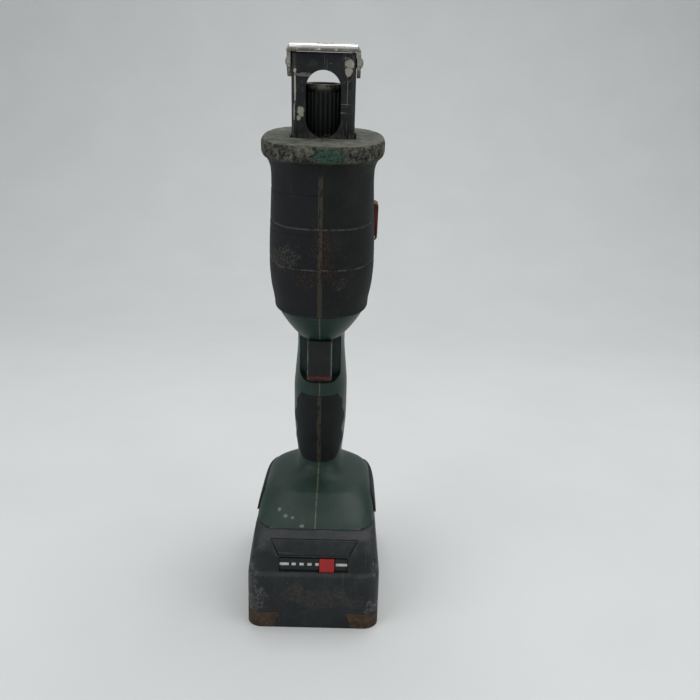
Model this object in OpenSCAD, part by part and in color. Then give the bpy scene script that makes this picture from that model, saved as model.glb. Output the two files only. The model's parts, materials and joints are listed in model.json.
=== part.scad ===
// Cordless reciprocating saw standing on its battery, blade end up.
// The origin is the middle of the battery's underside. +Z is up, -Y is the trigger side
// and +X is the side that carries the shoe lock lever.

/* [Stance] */
// Forward lean of the tool's axis on its battery, degrees
lean = 11; // [0:0.5:14]
// Distance behind the origin at which the tool's axis meets the battery's underside
axis_back = 34; // [30:1:38]

/* [Battery] */
// Width of the battery
batt_w = 79; // [75:0.5:84]
// Height of the battery up to the foot of the tool
batt_h = 57; // [56:0.5:64]
// Reach of the battery in front of the origin
batt_front = 62; // [60:1:70]
// Reach of the battery behind the origin
batt_back = 58; // [56:1:66]
// Radius of the battery's upright corners
batt_r = 9; // [6:0.5:12]
// Height of the battery's lower tray
tray_h = 12.3; // [11:0.1:14]
// Height of the rubber corner bumpers
bumper_h = 10; // [6:0.5:10]
// Length of the corner bumpers along the front
bumper_w = 16.5; // [12:0.5:20]
// Wall of the battery's case
batt_wall = 3; // [2:0.1:3.2]
// Diameter of one cell
cell_d = 18.5; // [16:0.1:18.6]
// Height of the charge display band
band_h = 8.7; // [6:0.1:9]
// Width of the charge display band
band_w = 40.4; // [34:0.2:44]
// Width of the release button across its top
release_w = 50; // [44:0.5:52]
// Height of the release button
release_h = 7.6; // [6:0.1:8]
// Travel of the release button
release_travel = 2.5; // [1.5:0.1:2.6]
// Width of the red charge button
charge_w = 8.8; // [6:0.1:10]

/* [Foot] */
// Reach of the foot in front of the origin
foot_front = 47; // [44:0.5:48]
// Reach of the foot behind the origin
foot_back = 50; // [48:0.5:54]
// Height of the foot's shoulders above the battery
foot_h = 15; // [13:0.5:18]
// Length over which the foot's shoulders run into the grip
blend_h = 14.6; // [12:0.2:18]

/* [Grip] */
// Length of the grip below the trigger
grip_len = 57; // [50:1:66]
// Greatest width of the grip
grip_w = 34.2; // [32:0.2:37]
// Greatest depth of the grip
grip_d = 47; // [44:0.5:52]
// Width of the neck behind the trigger
neck_w = 29.6; // [28.6:0.2:31]
// Length along the axis that the trigger has to itself
trigger_room = 31.5; // [30:0.5:36]
// Width of the recess that the trigger moves in
well_w = 25.6; // [22:0.2:25.8]
// Width of the trigger
trigger_w = 14.8; // [12:0.2:18]
// Travel of the trigger
trigger_travel = 6; // [4:0.5:6.5]

/* [Head] */
// Length of the chin between the trigger and the head's rubber
chin_len = 17.5; // [15:0.5:22]
// Length of the head up to the hand guard
head_len = 88.5; // [88:0.5:94]
// Greatest width of the head
head_w = 62; // [61:0.5:66]
// Greatest depth of the head
head_d = 73; // [72:0.5:78]
// Width of the hand guard
guard_w = 69; // [67:0.5:74]
// Depth of the hand guard
guard_d = 84; // [82:0.5:90]
// Thickness of the hand guard
guard_t = 9; // [6:0.5:10]
// Thickness of the rubber over the head
rubber_t = 2; // [1.5:0.1:2.2]
// Wall of the plastic housing
wall = 2.5; // [1.8:0.1:2.6]

/* [Drive] */
// Distance of the plunger and motor axis behind the tool's axis
drive_back = 3; // [2.5:0.1:3.4]
// Number of teeth on the crank gear
gear_teeth = 32; // [24:4:40]
// Number of teeth on the motor pinion
pinion_teeth = 8; // [6:1:10]
// Throw of the crank, half the stroke
throw = 8; // [6:0.5:8]
// Diameter of the plunger
plunger_d = 12; // [10:0.2:12.4]
// Length of the bronze bushing that guides the plunger
bushing_len = 10.9; // [8:0.1:14]

/* [Blade clamp] */
// Diameter of the fluted clamp sleeve
sleeve_d = 21.6; // [20:0.2:21.8]
// Length of the clamp sleeve
sleeve_len = 26.6; // [24:0.2:28]
// Number of ribs on the clamp sleeve
sleeve_ribs = 24; // [16:2:30]
// Thickness of the blade's shank that the clamp takes
shank_t = 1.8; // [1:0.1:2.4]
// Width of the blade's shank that the clamp takes
shank_w = 13; // [10:0.5:13.4]

/* [Shoe] */
// Width of the shoe's steel bracket
bracket_w = 34.4; // [33.6:0.2:35]
// Thickness of the bracket's steel
bracket_t = 2.5; // [2:0.1:2.6]
// Width of the window in the bracket
window_w = 18.8; // [14:0.2:20]
// Height of the window in the bracket
window_h = 34.5; // [30:0.5:37]
// Height of the shoe's pivot above the hand guard
pivot_rise = 38; // [38:0.5:44]
// Depth of the shoe plate
shoe_d = 37; // [34:0.5:42]
// Thickness of the shoe's steel
shoe_t = 2.5; // [2:0.1:3]
// Height of the shoe's face above its pivot
shoe_rise = 9.2; // [9:0.1:11]
// Diameter of the shoe's rivets
rivet_d = 4.8; // [4:0.1:6]
// Width of the blade slot in the shoe
slot_w = 9; // [6:0.5:12]
// Travel of the bracket when the lock lever is open
bracket_travel = 16; // [10:1:18]

/* [Lock lever] */
// Length of the lever on the side of the head
lever_len = 22.2; // [18:0.2:24]
// Width of the lever
lever_w = 10; // [8:0.5:12]

/* [Fit] */
// Gap between pieces that move past each other
gap = 0.3; // [0.3:0.05:0.4]
// Radial clearance of a shaft in its bearing
run_fit = 0.05; // [0.02:0.01:0.08]

/* [Hidden] */
$fn = 48;

// Places along the tool's axis, measured from the battery's underside
base_s = (batt_h + gap) / cos(lean);
shoulder_s = (batt_h + gap + foot_h) / cos(lean);
grip_s = shoulder_s + blend_h;
well_s = grip_s + grip_len;
chin_s = well_s + trigger_room;
head_s = chin_s + chin_len;
guard_s = head_s + head_len;
nose_s = guard_s + guard_t;
pivot_s = nose_s + pivot_rise;
core_top_s = nose_s - 3;
// The drive is laid out downwards from the nose, and the motor takes the room that is left
floor_t = 3;
seal_t = 2;
case_t = 2.4;
sleeve_s = nose_s + 0.6;
bushing_top_s = sleeve_s - throw - 0.6;
case_top_s = bushing_top_s - seal_t - bushing_len;
case_w = head_w - 2 * (rubber_t + wall) - 8;
gear_r = case_w / 2 - case_t - 1.1;
crank_s = case_top_s - gear_r - 0.6;
case_s = crank_s - gear_r - 7;
motor_s = head_s - 3;
motor_len = case_s - motor_s;
motor_d = case_w - 1;
// The pack holds two rows of cells across its width, and the foot sits on its top
cell_l = batt_w - 2 * batt_wall - 6;
foot_w = batt_w - 5;

// The tool's own frame: x across, y towards the back, z along the leaning axis
module on_axis() {
    translate([0, axis_back, 0]) rotate([lean, 0, 0]) children();
}
function axis_y(s) = axis_back - s * sin(lean);

// ---------------------------------------------------------------- curves and lofts
// A table's rows are [place, size, size...]; between rows each size runs smoothly
// without overshoot, as its slope at a row is the harmonic mean of its neighbours'
function rise(t, k, i) = (t[i + 1][k] - t[i][k]) / (t[i + 1][0] - t[i][0]);
function row_slope(t, k, i) =
    i == 0 ? rise(t, k, 0) :
    i == len(t) - 1 ? rise(t, k, i - 1) :
    let (a = rise(t, k, i - 1), b = rise(t, k, i)) a * b <= 0 ? 0 : 2 * a * b / (a + b);
function span_of(t, s, i = 0) = (i >= len(t) - 2 || s < t[i + 1][0]) ? i : span_of(t, s, i + 1);
function along(t, s, k) =
    let (
        i = span_of(t, s),
        h = t[i + 1][0] - t[i][0],
        v = (s - t[i][0]) / h
    )
    (2 * v * v * v - 3 * v * v + 1) * t[i][k] + (v * v * v - 2 * v * v + v) * h * row_slope(t, k, i)
    + (3 * v * v - 2 * v * v * v) * t[i + 1][k] + (v * v * v - v * v) * h * row_slope(t, k, i + 1);
function row_at(t, s) = [for (k = [0:len(t[0]) - 1]) k == 0 ? s : along(t, s, k)];

// Section of the body: [place, half width, front, back, squareness, share of the lean].
// A point of it lies on a superellipse, at angle a from the side towards the front
function body_point(row, a, grow = 0) =
    let (
        d = (row[2] + row[3]) / 2 + grow,
        c = (row[2] - row[3]) / 2,
        e = 2 / row[4],
        x = (row[1] + grow) * pow(abs(cos(a)), e),
        u = c + d * sign(sin(a)) * pow(abs(sin(a)), e),
        tilt = lean * row[5]
    )
    [x, axis_y(row[0]) - u * cos(tilt), row[0] * cos(lean) - u * sin(tilt)];

// Solid through closed rings of points, each ring counter-clockwise seen from its far end.
// The ends are closed by a ladder between the two halves of the ring
module loft(rings) {
    n = len(rings[0]);
    last = (len(rings) - 1) * n;
    half = n / 2;
    polyhedron(
        points = [for (r = rings) each r],
        faces = [
            for (i = [0:half - 2]) each [[i, i + 1, n - 2 - i], [i, n - 2 - i, n - 1 - i]],
            for (i = [0:half - 2])
                each [[last + i, last + n - 2 - i, last + i + 1], [last + i, last + n - 1 - i, last + n - 2 - i]],
            for (j = [0:len(rings) - 2], i = [0:n - 1])
                let (a = j * n + i, b = j * n + (i + 1) % n)
                    each [[a, a + n, b + n], [a, b + n, b]]
        ],
        convexity = 8
    );
}

// Half ring from the front seam round the +X side to the back seam, with its inner side
half_steps = 12;
function half_ring(outer, inner, grow_out = 0, grow_in = 0, a0 = 90, a1 = -90, steps = half_steps) =
    [
        for (i = [0:steps]) body_point(outer, a0 + (a1 - a0) * i / steps, grow_out),
        for (i = [steps:-1:0]) body_point(inner, a0 + (a1 - a0) * i / steps, grow_in)
    ];

// Foot: [share of the shoulder's height, share of the width, share of the way back, squareness, lean]
foot_form = [
    [0, 1, 0, 5.5, 0],
    [0.18, 0.981, 0.078, 5, 0],
    [0.45, 0.934, 0.233, 4.4, 0],
    [0.68, 0.85, 0.378, 3.8, 0],
    [0.85, 0.709, 0.489, 3.3, 0],
    [0.953, 0.484, 0.578, 2.9, 0.1],
    [1.033, 0.225, 0.656, 2.6, 0.2],
    [1.147, 0.061, 0.756, 2.4, 0.35],
    [1.35, 0.01, 0.878, 2.3, 0.6]
];
foot_to_grip = 2;
foot_rows = [
    for (f = foot_form)
        let (
            s = (batt_h + gap + f[0] * foot_h) / cos(lean),
            front_y = -foot_front + f[2] * (foot_front - foot_to_grip),
            back_y = foot_back - 6.6 * pow(f[0] / 1.35, 3)
        )
        [s, (neck_w + f[1] * (foot_w - neck_w)) / 2, axis_y(s) - front_y, back_y - axis_y(s), f[3], f[4]]
];
// Grip and neck: the front is grip_d less the back of the palm
palm = 25;
grip_front = grip_d - palm;
grip_rows = [
    [grip_s - 4, neck_w / 2, grip_front - 0.5, palm + 0.5, 2.3, 1],
    [grip_s, grip_w / 2 - 2, grip_front - 2, palm, 2.3, 1],
    [grip_s + 0.21 * grip_len, grip_w / 2 - 0.9, grip_front - 1.5, palm, 2.3, 1],
    [grip_s + 0.5 * grip_len, grip_w / 2, grip_front - 0.2, palm, 2.3, 1],
    [grip_s + 0.81 * grip_len, grip_w / 2, grip_front - 0.7, palm, 2.3, 1],
    [well_s, (grip_w + neck_w) / 4 + 0.4, grip_front - 2.5, palm + 0.5, 2.3, 1],
    [well_s + 0.67 * trigger_room, neck_w / 2, grip_front - 3, palm + 2.5, 2.3, 1],
    [well_s + 0.85 * trigger_room, neck_w / 2, grip_front - 1.5, palm + 3.6, 2.3, 1]
];
head_front = head_d / 2 - 0.5;
head_back = head_d / 2 + 0.5;
head_rows = [
    [chin_s, neck_w / 2 + 1.2, head_front - 12.5, head_back - 7.5, 2.3, 1],
    [chin_s + 0.2 * chin_len, head_w / 2 - 12.1, head_front - 10, head_back - 6, 2.3, 1],
    [chin_s + 0.54 * chin_len, head_w / 2 - 8.1, head_front - 7, head_back - 4.5, 2.4, 1],
    [chin_s + 0.886 * chin_len, head_w / 2 - 4.9, head_front - 4.5, head_back - 3, 2.5, 1],
    [head_s + 0.068 * head_len, head_w / 2 - 2.2, head_front - 2.5, head_back - 1.5, 2.6, 1],
    [head_s + 0.18 * head_len, head_w / 2 - 0.6, head_front - 1, head_back - 0.7, 2.6, 1],
    [head_s + 0.3 * head_len, head_w / 2, head_front - 0.2, head_back - 0.1, 2.6, 1],
    [head_s + 0.43 * head_len, head_w / 2 - 0.2, head_front, head_back, 2.6, 1],
    [head_s + 0.7 * head_len, head_w / 2 - 1.3, head_front - 0.7, head_back - 0.5, 2.6, 1],
    [head_s + 0.86 * head_len, head_w / 2 - 1.8, head_front - 1.5, head_back - 1, 2.6, 1]
];
body_rows = concat(foot_rows, grip_rows, head_rows);
// Hand guard: the rubber turns out over the last stretch and its rim is rounded
guard_front = guard_d / 2 - 1;
guard_back = guard_d / 2 + 1;
guard_rows = [
    [guard_s - 8, head_w / 2 - 1.6, head_front - 1.5, head_back - 1, 2.6, 1],
    [guard_s - 4, head_w / 2 - 0.6, head_front - 0.4, head_back, 2.6, 1],
    [guard_s - 1.2, guard_w / 2 - 2.4, guard_front - 3.4, guard_back - 3.4, 2.5, 1],
    [guard_s + 0.2, guard_w / 2 - 0.8, guard_front - 1.2, guard_back - 1.2, 2.5, 1],
    [guard_s + 0.3 * guard_t, guard_w / 2, guard_front, guard_back, 2.5, 1],
    [guard_s + 0.72 * guard_t, guard_w / 2, guard_front - 0.2, guard_back - 0.2, 2.5, 1],
    [guard_s + 0.94 * guard_t, guard_w / 2 - 0.7, guard_front - 1, guard_back - 1, 2.5, 1],
    [nose_s, guard_w / 2 - 1.8, guard_front - 2.2, guard_back - 2.2, 2.5, 1]
];
sleeve_rows = concat([for (r = head_rows) if (r[0] >= head_s) r], guard_rows);

// Opening in the nose for the shoe's bracket
bracket_front = 11.4;
bracket_back = 14;
nose_rows = [0, bracket_w / 2 + 1, bracket_front + 0.6, bracket_back + 1.7, 16, 1];
function nose_row(s) = [for (k = [0:5]) k == 0 ? s : nose_rows[k]];

// ---------------------------------------------------------------- housing
housing_green = "#1f3d33";
rubber_black = "#26282a";
lever_red = "#8f2118";

// The wall behind the trigger is thick enough to hold the trigger's recess
well_wall = 12;
function front_wall(s) = s > well_s - 6 && s < chin_s + 6 ? well_wall : wall;
function skin_in(s) = s > head_s ? rubber_t + 0.2 : 0;
function lined(s) =
    let (r = row_at(body_rows, s), k = skin_in(s) + wall, f = front_wall(s))
    [s, r[1] - k, r[2] - (f > wall ? f : k), r[3] - k, r[4], r[5]];
shell_places = concat(
    [for (r = foot_rows) r[0]],
    [grip_s - 4, grip_s, grip_s + 0.2 * grip_len, grip_s + 0.45 * grip_len, grip_s + 0.7 * grip_len],
    [well_s - 6.2, well_s - 5.8, well_s, well_s + 0.35 * trigger_room, well_s + 0.67 * trigger_room],
    [well_s + 0.85 * trigger_room, chin_s, chin_s + 0.2 * chin_len, chin_s + 5.8, chin_s + 6.2],
    [chin_s + 0.54 * chin_len, chin_s + 0.8 * chin_len]
);
core_places = [for (v = [0.068, 0.18, 0.3, 0.43, 0.57, 0.7, 0.86]) head_s + v * head_len];

// Pocket in the side of the head for the lock lever, and the hole for its pin
lever_pin_r = 1.25;
lever_pin_s = guard_s - 48;
lever_pin_x = head_w / 2 - 1.1;
lever_hub_r = 2.6;
lever_tip_r = 2.2;
module lever_pocket() {
    on_axis() {
        translate([lever_pin_x - lever_hub_r - gap, -gap, lever_pin_s - lever_hub_r - gap])
            cube([20, lever_w + 2 * gap, lever_len + 2 * gap]);
        lever_pin_solid();
    }
}
module lever_pin_solid() {
    translate([lever_pin_x, -2, lever_pin_s])
        rotate([-90, 0, 0]) cylinder(r = lever_pin_r, h = lever_w + 4);
}

// Recess for the trigger: round below, closed above by the chin
well_u = 9;
well_r = 6;
stem_s = well_s + 0.64 * trigger_room;
stem_r = 3;
module trigger_well() {
    on_axis() {
        translate([0, -well_u, 0]) rotate([90, 0, 0]) linear_extrude(height = 40) {
            translate([-well_w / 2, well_s + well_r])
                square([well_w, trigger_room - well_r]);
            translate([-well_w / 2 + well_r, well_s]) square([well_w - 2 * well_r, well_r + 1]);
            for (x = [-1, 1])
                translate([x * (well_w / 2 - well_r), well_s + well_r]) circle(r = well_r);
        }
        translate([0, 0, stem_s]) rotate([90, 0, 0]) cylinder(r = stem_r + 0.6, h = 20);
    }
}

// Air leaves the fan through upright slots in both sides of the chin
vent_w = 2;
vent_pitch = 4.6;
vent_count = 5;
module vents() {
    on_axis() for (i = [0:vent_count - 1], x = [-1, 1])
        translate([x * (head_w / 2 - 5), 2 + vent_pitch * i, chin_s + 0.3 * chin_len + 0.35 * i]) {
            translate([-14, 0, 0]) cube([28, vent_w, 0.44 * chin_len]);
            for (z = [0, 0.44 * chin_len]) translate([-14, vent_w / 2, z]) rotate([0, 90, 0]) cylinder(r = vent_w / 2, h = 28);
        }
}

// Shallow slot in the foot's top, beside the grip
foot_slot_w = 2.4;
foot_slot_len = 9.4;
module foot_slot() {
    translate([-0.3075 * foot_w, 21.8 - foot_front, batt_h + gap + 0.71 * foot_h]) rotate([19, 0, 0]) rotate([0, -15.4, 0]) {
        translate([-foot_slot_len / 2, -foot_slot_w / 2, -1.5]) cube([foot_slot_len, foot_slot_w, 5]);
        for (x = [-1, 1]) translate([x * foot_slot_len / 2, 0, -1.5]) cylinder(r = foot_slot_w / 2, h = 5);
    }
}

module half_shell() {
    loft([
        for (s = shell_places) half_ring(row_at(body_rows, s), lined(s)),
        half_ring(row_at(body_rows, head_s), lined(head_s)),
        half_ring(row_at(body_rows, head_s + 0.01), lined(head_s + 0.01), -skin_in(guard_s)),
        for (s = core_places) half_ring(row_at(body_rows, s), lined(s), -skin_in(s)),
        let (r = row_at(body_rows, guard_s - 8), m = [for (k = [0:5]) k == 0 ? core_top_s - 3.5 : r[k]])
            half_ring(m, [m[0], m[1] - rubber_t - 0.2 - wall, m[2] - 4.7, m[3] - 4.7, m[4], 1], -skin_in(guard_s)),
        let (r = row_at(body_rows, guard_s - 8), m = [for (k = [0:5]) k == 0 ? core_top_s - 3 : r[k]])
            half_ring(m, nose_row(core_top_s - 3), -skin_in(guard_s)),
        let (r = row_at(body_rows, guard_s - 8), m = [for (k = [0:5]) k == 0 ? core_top_s : r[k]])
            half_ring(m, nose_row(core_top_s), -skin_in(guard_s))
    ]);
}
module left_housing_shell() {
    color(housing_green) difference() {
        half_shell();
        trigger_well();
        lever_pocket();
        vents();
    }
}
module right_housing_shell() {
    color(housing_green) difference() {
        mirror([1, 0, 0]) half_shell();
        trigger_well();
        screw_holes();
        vents();
        foot_slot();
    }
}

// Rubber over the head: it seats on the step of the shell and turns out into the hand guard
groove = 0.5;
function grooved(places) = [
    for (g = places) each [[g - 0.9, 0], [g - 0.35, -groove], [g + 0.35, -groove], [g + 0.9, 0]]
];
sleeve_marks = [for (v = [0.004, 0.068, 0.18, 0.43, 0.7, 0.86]) [head_s + v * head_len, 0]];
guard_marks = [for (r = guard_rows) [r[0], 0]];
wide_grooves = grooved([head_s + 0.34 * head_len, head_s + 0.6 * head_len]);
side_grooves = grooved([head_s + 0.555 * head_len, head_s + 0.8 * head_len]);
function by_place(a) = len(a) <= 1 ? a : let (p = a[floor(len(a) / 2)][0]) concat(
    by_place([for (v = a) if (v[0] < p) v]), [for (v = a) if (v[0] == p) v],
    by_place([for (v = a) if (v[0] > p) v]));
module half_sleeve(marks) {
    inside = [for (m = marks) if (m[0] < core_top_s) m];
    r = row_at(body_rows, head_s + 0.86 * head_len);
    function core(s) = s > r[0] ? [for (k = [0:5]) k == 0 ? s : r[k]] : row_at(body_rows, s);
    loft([
        for (m = inside) half_ring(row_at(sleeve_rows, m[0]), core(m[0]), m[1], -rubber_t),
        half_ring(row_at(sleeve_rows, core_top_s + 0.1), core(core_top_s + 0.1), 0, -rubber_t),
        half_ring(row_at(sleeve_rows, core_top_s + 0.2), nose_row(core_top_s + 0.2)),
        for (m = marks) if (m[0] > core_top_s + 0.3) half_ring(row_at(sleeve_rows, m[0]), nose_row(m[0]))
    ]);
}
module left_head_sleeve() {
    color(rubber_black) difference() {
        half_sleeve(by_place(concat(sleeve_marks, guard_marks, wide_grooves)));
        lever_pocket();
    }
}
module right_head_sleeve() {
    color(rubber_black) mirror([1, 0, 0])
        half_sleeve(by_place(concat(sleeve_marks, guard_marks, wide_grooves, side_grooves)));
}

// Rubber pads lie on the skin; each ends in a bevel. Its edge angle may vary along its length
pad_t = 1;
pad_seat = 0.25;
module skin_pad(places, a0, a1, t = pad_t, steps = 6) {
    n = len(places) - 1;
    loft([
        for (j = [0:n]) let (r = row_at(body_rows, places[j]), end = j == 0 || j == n)
            half_ring(r, r, end ? pad_seat + 0.15 : t, pad_seat, a0[j], a1[j], steps)
    ]);
}
grip_pad_places = [
    for (v = [0, 0.02, 0.12, 0.2, 0.28, 0.36, 0.44, 0.52, 0.6, 0.68, 0.76, 0.84, 0.9, 0.94])
        grip_s - 0.6 + v * grip_len * 0.92
];
// The pad's side edge steps in and out to give the fingers a hold
function scallop(i) = i < 2 ? 55 : i > 11 ? 50 : 34 + 5 * cos(i * 90);
module half_grip_pad() {
    n = len(grip_pad_places) - 1;
    skin_pad(grip_pad_places, [for (j = [0:n]) 90], [for (j = [0:n]) scallop(j)]);
}
rear_pad_places = [for (v = [0, 0.02, 0.15, 0.3, 0.45, 0.6, 0.75, 0.88, 0.98, 1]) grip_s + 4 + v * (chin_s - grip_s - 8)];
module half_rear_pad() {
    n = len(rear_pad_places) - 1;
    skin_pad(rear_pad_places, [for (j = [0:n]) j == 0 || j == n ? -55 : -38], [for (j = [0:n]) -90]);
}
module left_grip_pad() { color(rubber_black) half_grip_pad(); }
module right_grip_pad() { color(rubber_black) mirror([1, 0, 0]) half_grip_pad(); }
module left_rear_pad() { color(rubber_black) half_rear_pad(); }
module right_rear_pad() { color(rubber_black) mirror([1, 0, 0]) half_rear_pad(); }
module foot_side_pads() {
    color(rubber_black) for (side = [0, 1]) mirror([side, 0, 0])
        skin_pad([for (v = [0.02, 0.08, 0.3, 0.55, 0.62]) (batt_h + gap + v * foot_h) / cos(lean)],
            [9, 12, 12, 12, 9], [-38, -42, -42, -42, -38], 1.1);
}

// Housing screws enter from the right and end in the left shell: [place, distance behind the axis, length]
screw_r = 1.5;
screw_places = [
    [grip_s + 6, 19.5, 16], [well_s + 4, 20.5, 16], [chin_s + 7, 22.5, 22]
];
module screw_holes() {
    on_axis() for (p = screw_places)
        translate([-p[2] / 2 - 20, p[1], p[0]]) rotate([0, 90, 0]) cylinder(r = 3.3, h = 20 + 2.4);
}
module housing_screws() {
    color("silver") on_axis() for (p = screw_places) translate([-p[2] / 2, p[1], p[0]]) rotate([0, 90, 0]) {
        difference() {
            cylinder(r = 3, h = 2.2);
            translate([0, 0, -0.1]) cylinder(r = 1.4, h = 1.5, $fn = 6);
        }
        cylinder(r = screw_r, h = p[2] - 2);
    }
}

// ---------------------------------------------------------------- trigger
toe_h = 4.2;
trigger_s0 = well_s + 5.2;
trigger_s1 = chin_s - gap;
trigger_face = head_front - 9;
trigger_heel = -well_u - trigger_travel - gap;
// The front edge of each piece from below upwards, drawn in by k at its two faces
function trigger_edge(k) = [
    [-trigger_face - 1.2 + k, trigger_s0 + toe_h], [-trigger_face + 0.6 + k, trigger_s0 + toe_h + 5],
    [-trigger_face + 1.2 + k, trigger_s0 + toe_h + 10], [-trigger_face + 0.8 + k, trigger_s1 - 6],
    [-trigger_face + 2 + k, trigger_s1 - k]
];
function toe_edge(k) = [
    [-trigger_face + 3, trigger_s0 + k], [-trigger_face + 0.5 + k, trigger_s0 + 0.4 + k],
    [-trigger_face - 0.7 + k, trigger_s0 + 1.6 + k], [-trigger_face - 1.2 + k, trigger_s0 + toe_h - 0.05]
];
// Solid between an edge and the heel, across x, bevelled at both faces
module bevelled(half_width, bevel, full, drawn_in) {
    function face(x, e) = [
        for (i = [0:len(e) - 1]) [x, trigger_heel, e[i][1]],
        for (i = [len(e) - 1:-1:0]) [x, e[i][0], e[i][1]]
    ];
    loft([
        face(-half_width, drawn_in), face(-half_width + bevel, full),
        face(half_width - bevel, full), face(half_width, drawn_in)
    ]);
}
module trigger() {
    color(rubber_black) on_axis() difference() {
        union() {
            bevelled(trigger_w / 2, 1.4, trigger_edge(0), trigger_edge(1));
            translate([0, trigger_heel - 0.1, stem_s]) rotate([-90, 0, 0])
                cylinder(r = stem_r, h = trigger_travel + 4);
        }
        // room for the spring when the trigger is pulled
        translate([0, trigger_heel - trigger_travel - 0.2, stem_s]) rotate([-90, 0, 0]) ring(5.4, stem_r, trigger_travel + 0.3);
    }
}
module trigger_toe() {
    color(lever_red) on_axis()
        bevelled(trigger_w / 2, 1.4, toe_edge(0), toe_edge(0.6));
}

// Helical wire: a small ring of points carried round a helix along z
module helix(r, wire, pitch, turns, per_turn = 10) {
    steps = turns * per_turn;
    loft([
        for (i = [0:steps]) let (a = 360 * i / per_turn, z = pitch * i / per_turn)
            [for (k = [0:5]) let (b = -60 * k)
                [(r + wire * cos(b)) * cos(a), (r + wire * cos(b)) * sin(a), z + wire * sin(b)]]
    ]);
}
module trigger_spring() {
    wire = 0.4;
    turns = 3.5;
    length = trigger_travel + gap - 2 * wire - 0.1;
    color("silver") on_axis() translate([0, -well_u - wire - 0.05 - length, stem_s]) rotate([-90, 0, 0])
        helix(stem_r + 1.4, wire, length / turns, turns);
}
switch_s0 = well_s + 4;
switch_s1 = chin_s - 2;
module trigger_switch() {
    color("#2c2c2e") on_axis() difference() {
        union() {
            translate([-neck_w / 2 + 3.4, 3, switch_s0]) cube([neck_w - 6.8, 12, switch_s1 - switch_s0]);
            translate([-6.5, -5, switch_s0]) cube([13, 9, switch_s1 - switch_s0]);
        }
        translate([0, -6, stem_s]) rotate([-90, 0, 0]) cylinder(r = stem_r + 0.4, h = 9);
    }
}
board_t = 1.6;
board_w = grip_w - 9.4;
module control_board() {
    color("darkgreen") on_axis() {
        translate([-board_w / 2, 8, grip_s + 8]) cube([board_w, board_t, grip_len - 13]);
        for (z = [14, 26]) translate([4, 8 - 7, grip_s + z]) rotate([-90, 0, 0]) cylinder(r = 4, h = 7);
        for (z = [12, 22, 32]) translate([-9, 8 - 4, grip_s + z]) cube([7, 4, 6]);
    }
}

// ---------------------------------------------------------------- shoe lock
module shoe_lock_lever() {
    color(lever_red) on_axis() difference() {
        translate([0, lever_w, 0]) rotate([90, 0, 0]) linear_extrude(height = lever_w) hull() {
            translate([lever_pin_x, lever_pin_s]) circle(r = lever_hub_r, $fn = 24);
            translate([lever_pin_x + 0.5, lever_pin_s + lever_len - lever_hub_r - lever_tip_r])
                circle(r = lever_tip_r, $fn = 24);
        }
        translate([lever_pin_x, -1, lever_pin_s]) rotate([-90, 0, 0])
            cylinder(r = lever_pin_r + run_fit, h = lever_w + 2);
    }
}
module lever_pin() { color("silver") on_axis() lever_pin_solid(); }
tongue_w = bracket_w - 8.4;
module shoe_clamp_plate() {
    color("dimgray") on_axis() {
        translate([1 - tongue_w / 2, -bracket_front - gap - 2.5, lever_pin_s + 1]) cube([tongue_w - 2, 2.5, 20]);
        translate([tongue_w / 2 - 2, -bracket_front - gap - 2.5, lever_pin_s + 8])
            cube([head_w / 2 - rubber_t - wall - 3.2 - tongue_w / 2 + 2, 2.5, 7]);
    }
}

// ---------------------------------------------------------------- shoe
bend_r = 3.5;
side_t = 2.3;
window_s = nose_s + 0.2;
bracket_s0 = case_top_s + floor_t + gap;
bracket_s1 = pivot_s + shoe_rise - shoe_t - 1.5;
tongue_s0 = lever_pin_s + 3.5;
pivot_u = 2;
module bent_section(w, front, back, r) {
    translate([-w / 2, -front + r]) square([w, front + back - r]);
    translate([-w / 2 + r, -front]) square([w - 2 * r, r + 0.1]);
    for (x = [-1, 1]) translate([x * (w / 2 - r), -front + r]) circle(r = r);
}
module shoe_bracket() {
    rivet_r = rivet_d / 2;
    color("#1b1d20") on_axis() difference() {
        union() {
            translate([0, 0, bracket_s0]) linear_extrude(height = bracket_s1 - bracket_s0) difference() {
                bent_section(bracket_w, bracket_front, bracket_back, bend_r);
                translate([0, 0.01]) bent_section(bracket_w - 2 * side_t, bracket_front - bracket_t, bracket_back + 1, bend_r - side_t);
            }
            translate([-tongue_w / 2, -bracket_front, tongue_s0])
                cube([tongue_w, bracket_t, bracket_s0 - tongue_s0 + 0.1]);
        }
        // the walls fall away behind the pivot, to let the shoe tip back
        translate([-30, -pivot_u + 1.5, 0]) rotate([90, 0, 90]) linear_extrude(height = 60)
            polygon([[0, bracket_s1], [14, bracket_s1 - 10], [20, bracket_s1 - 10], [20, bracket_s1 + 5], [0, bracket_s1 + 5]]);
        translate([0, -5, window_s]) rotate([90, 0, 0]) linear_extrude(height = 12) {
            for (z = [window_w / 2, window_h - window_w / 2]) translate([0, z]) circle(r = window_w / 2);
            translate([-window_w / 2, window_w / 2]) square([window_w, window_h - window_w]);
        }
        translate([-30, -pivot_u, pivot_s]) rotate([0, 90, 0]) cylinder(r = rivet_r + 0.02, h = 60);
    }
}
ear_t = 2;
ear_r = 7.5;
shoe_w = bracket_w + 2 * (gap + ear_t);
shoe_front = 15.5;
lip_r = 1.85;
slot_y0 = -4;
slot_y1 = shoe_d - shoe_front - slot_w / 2 - 4;
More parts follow.
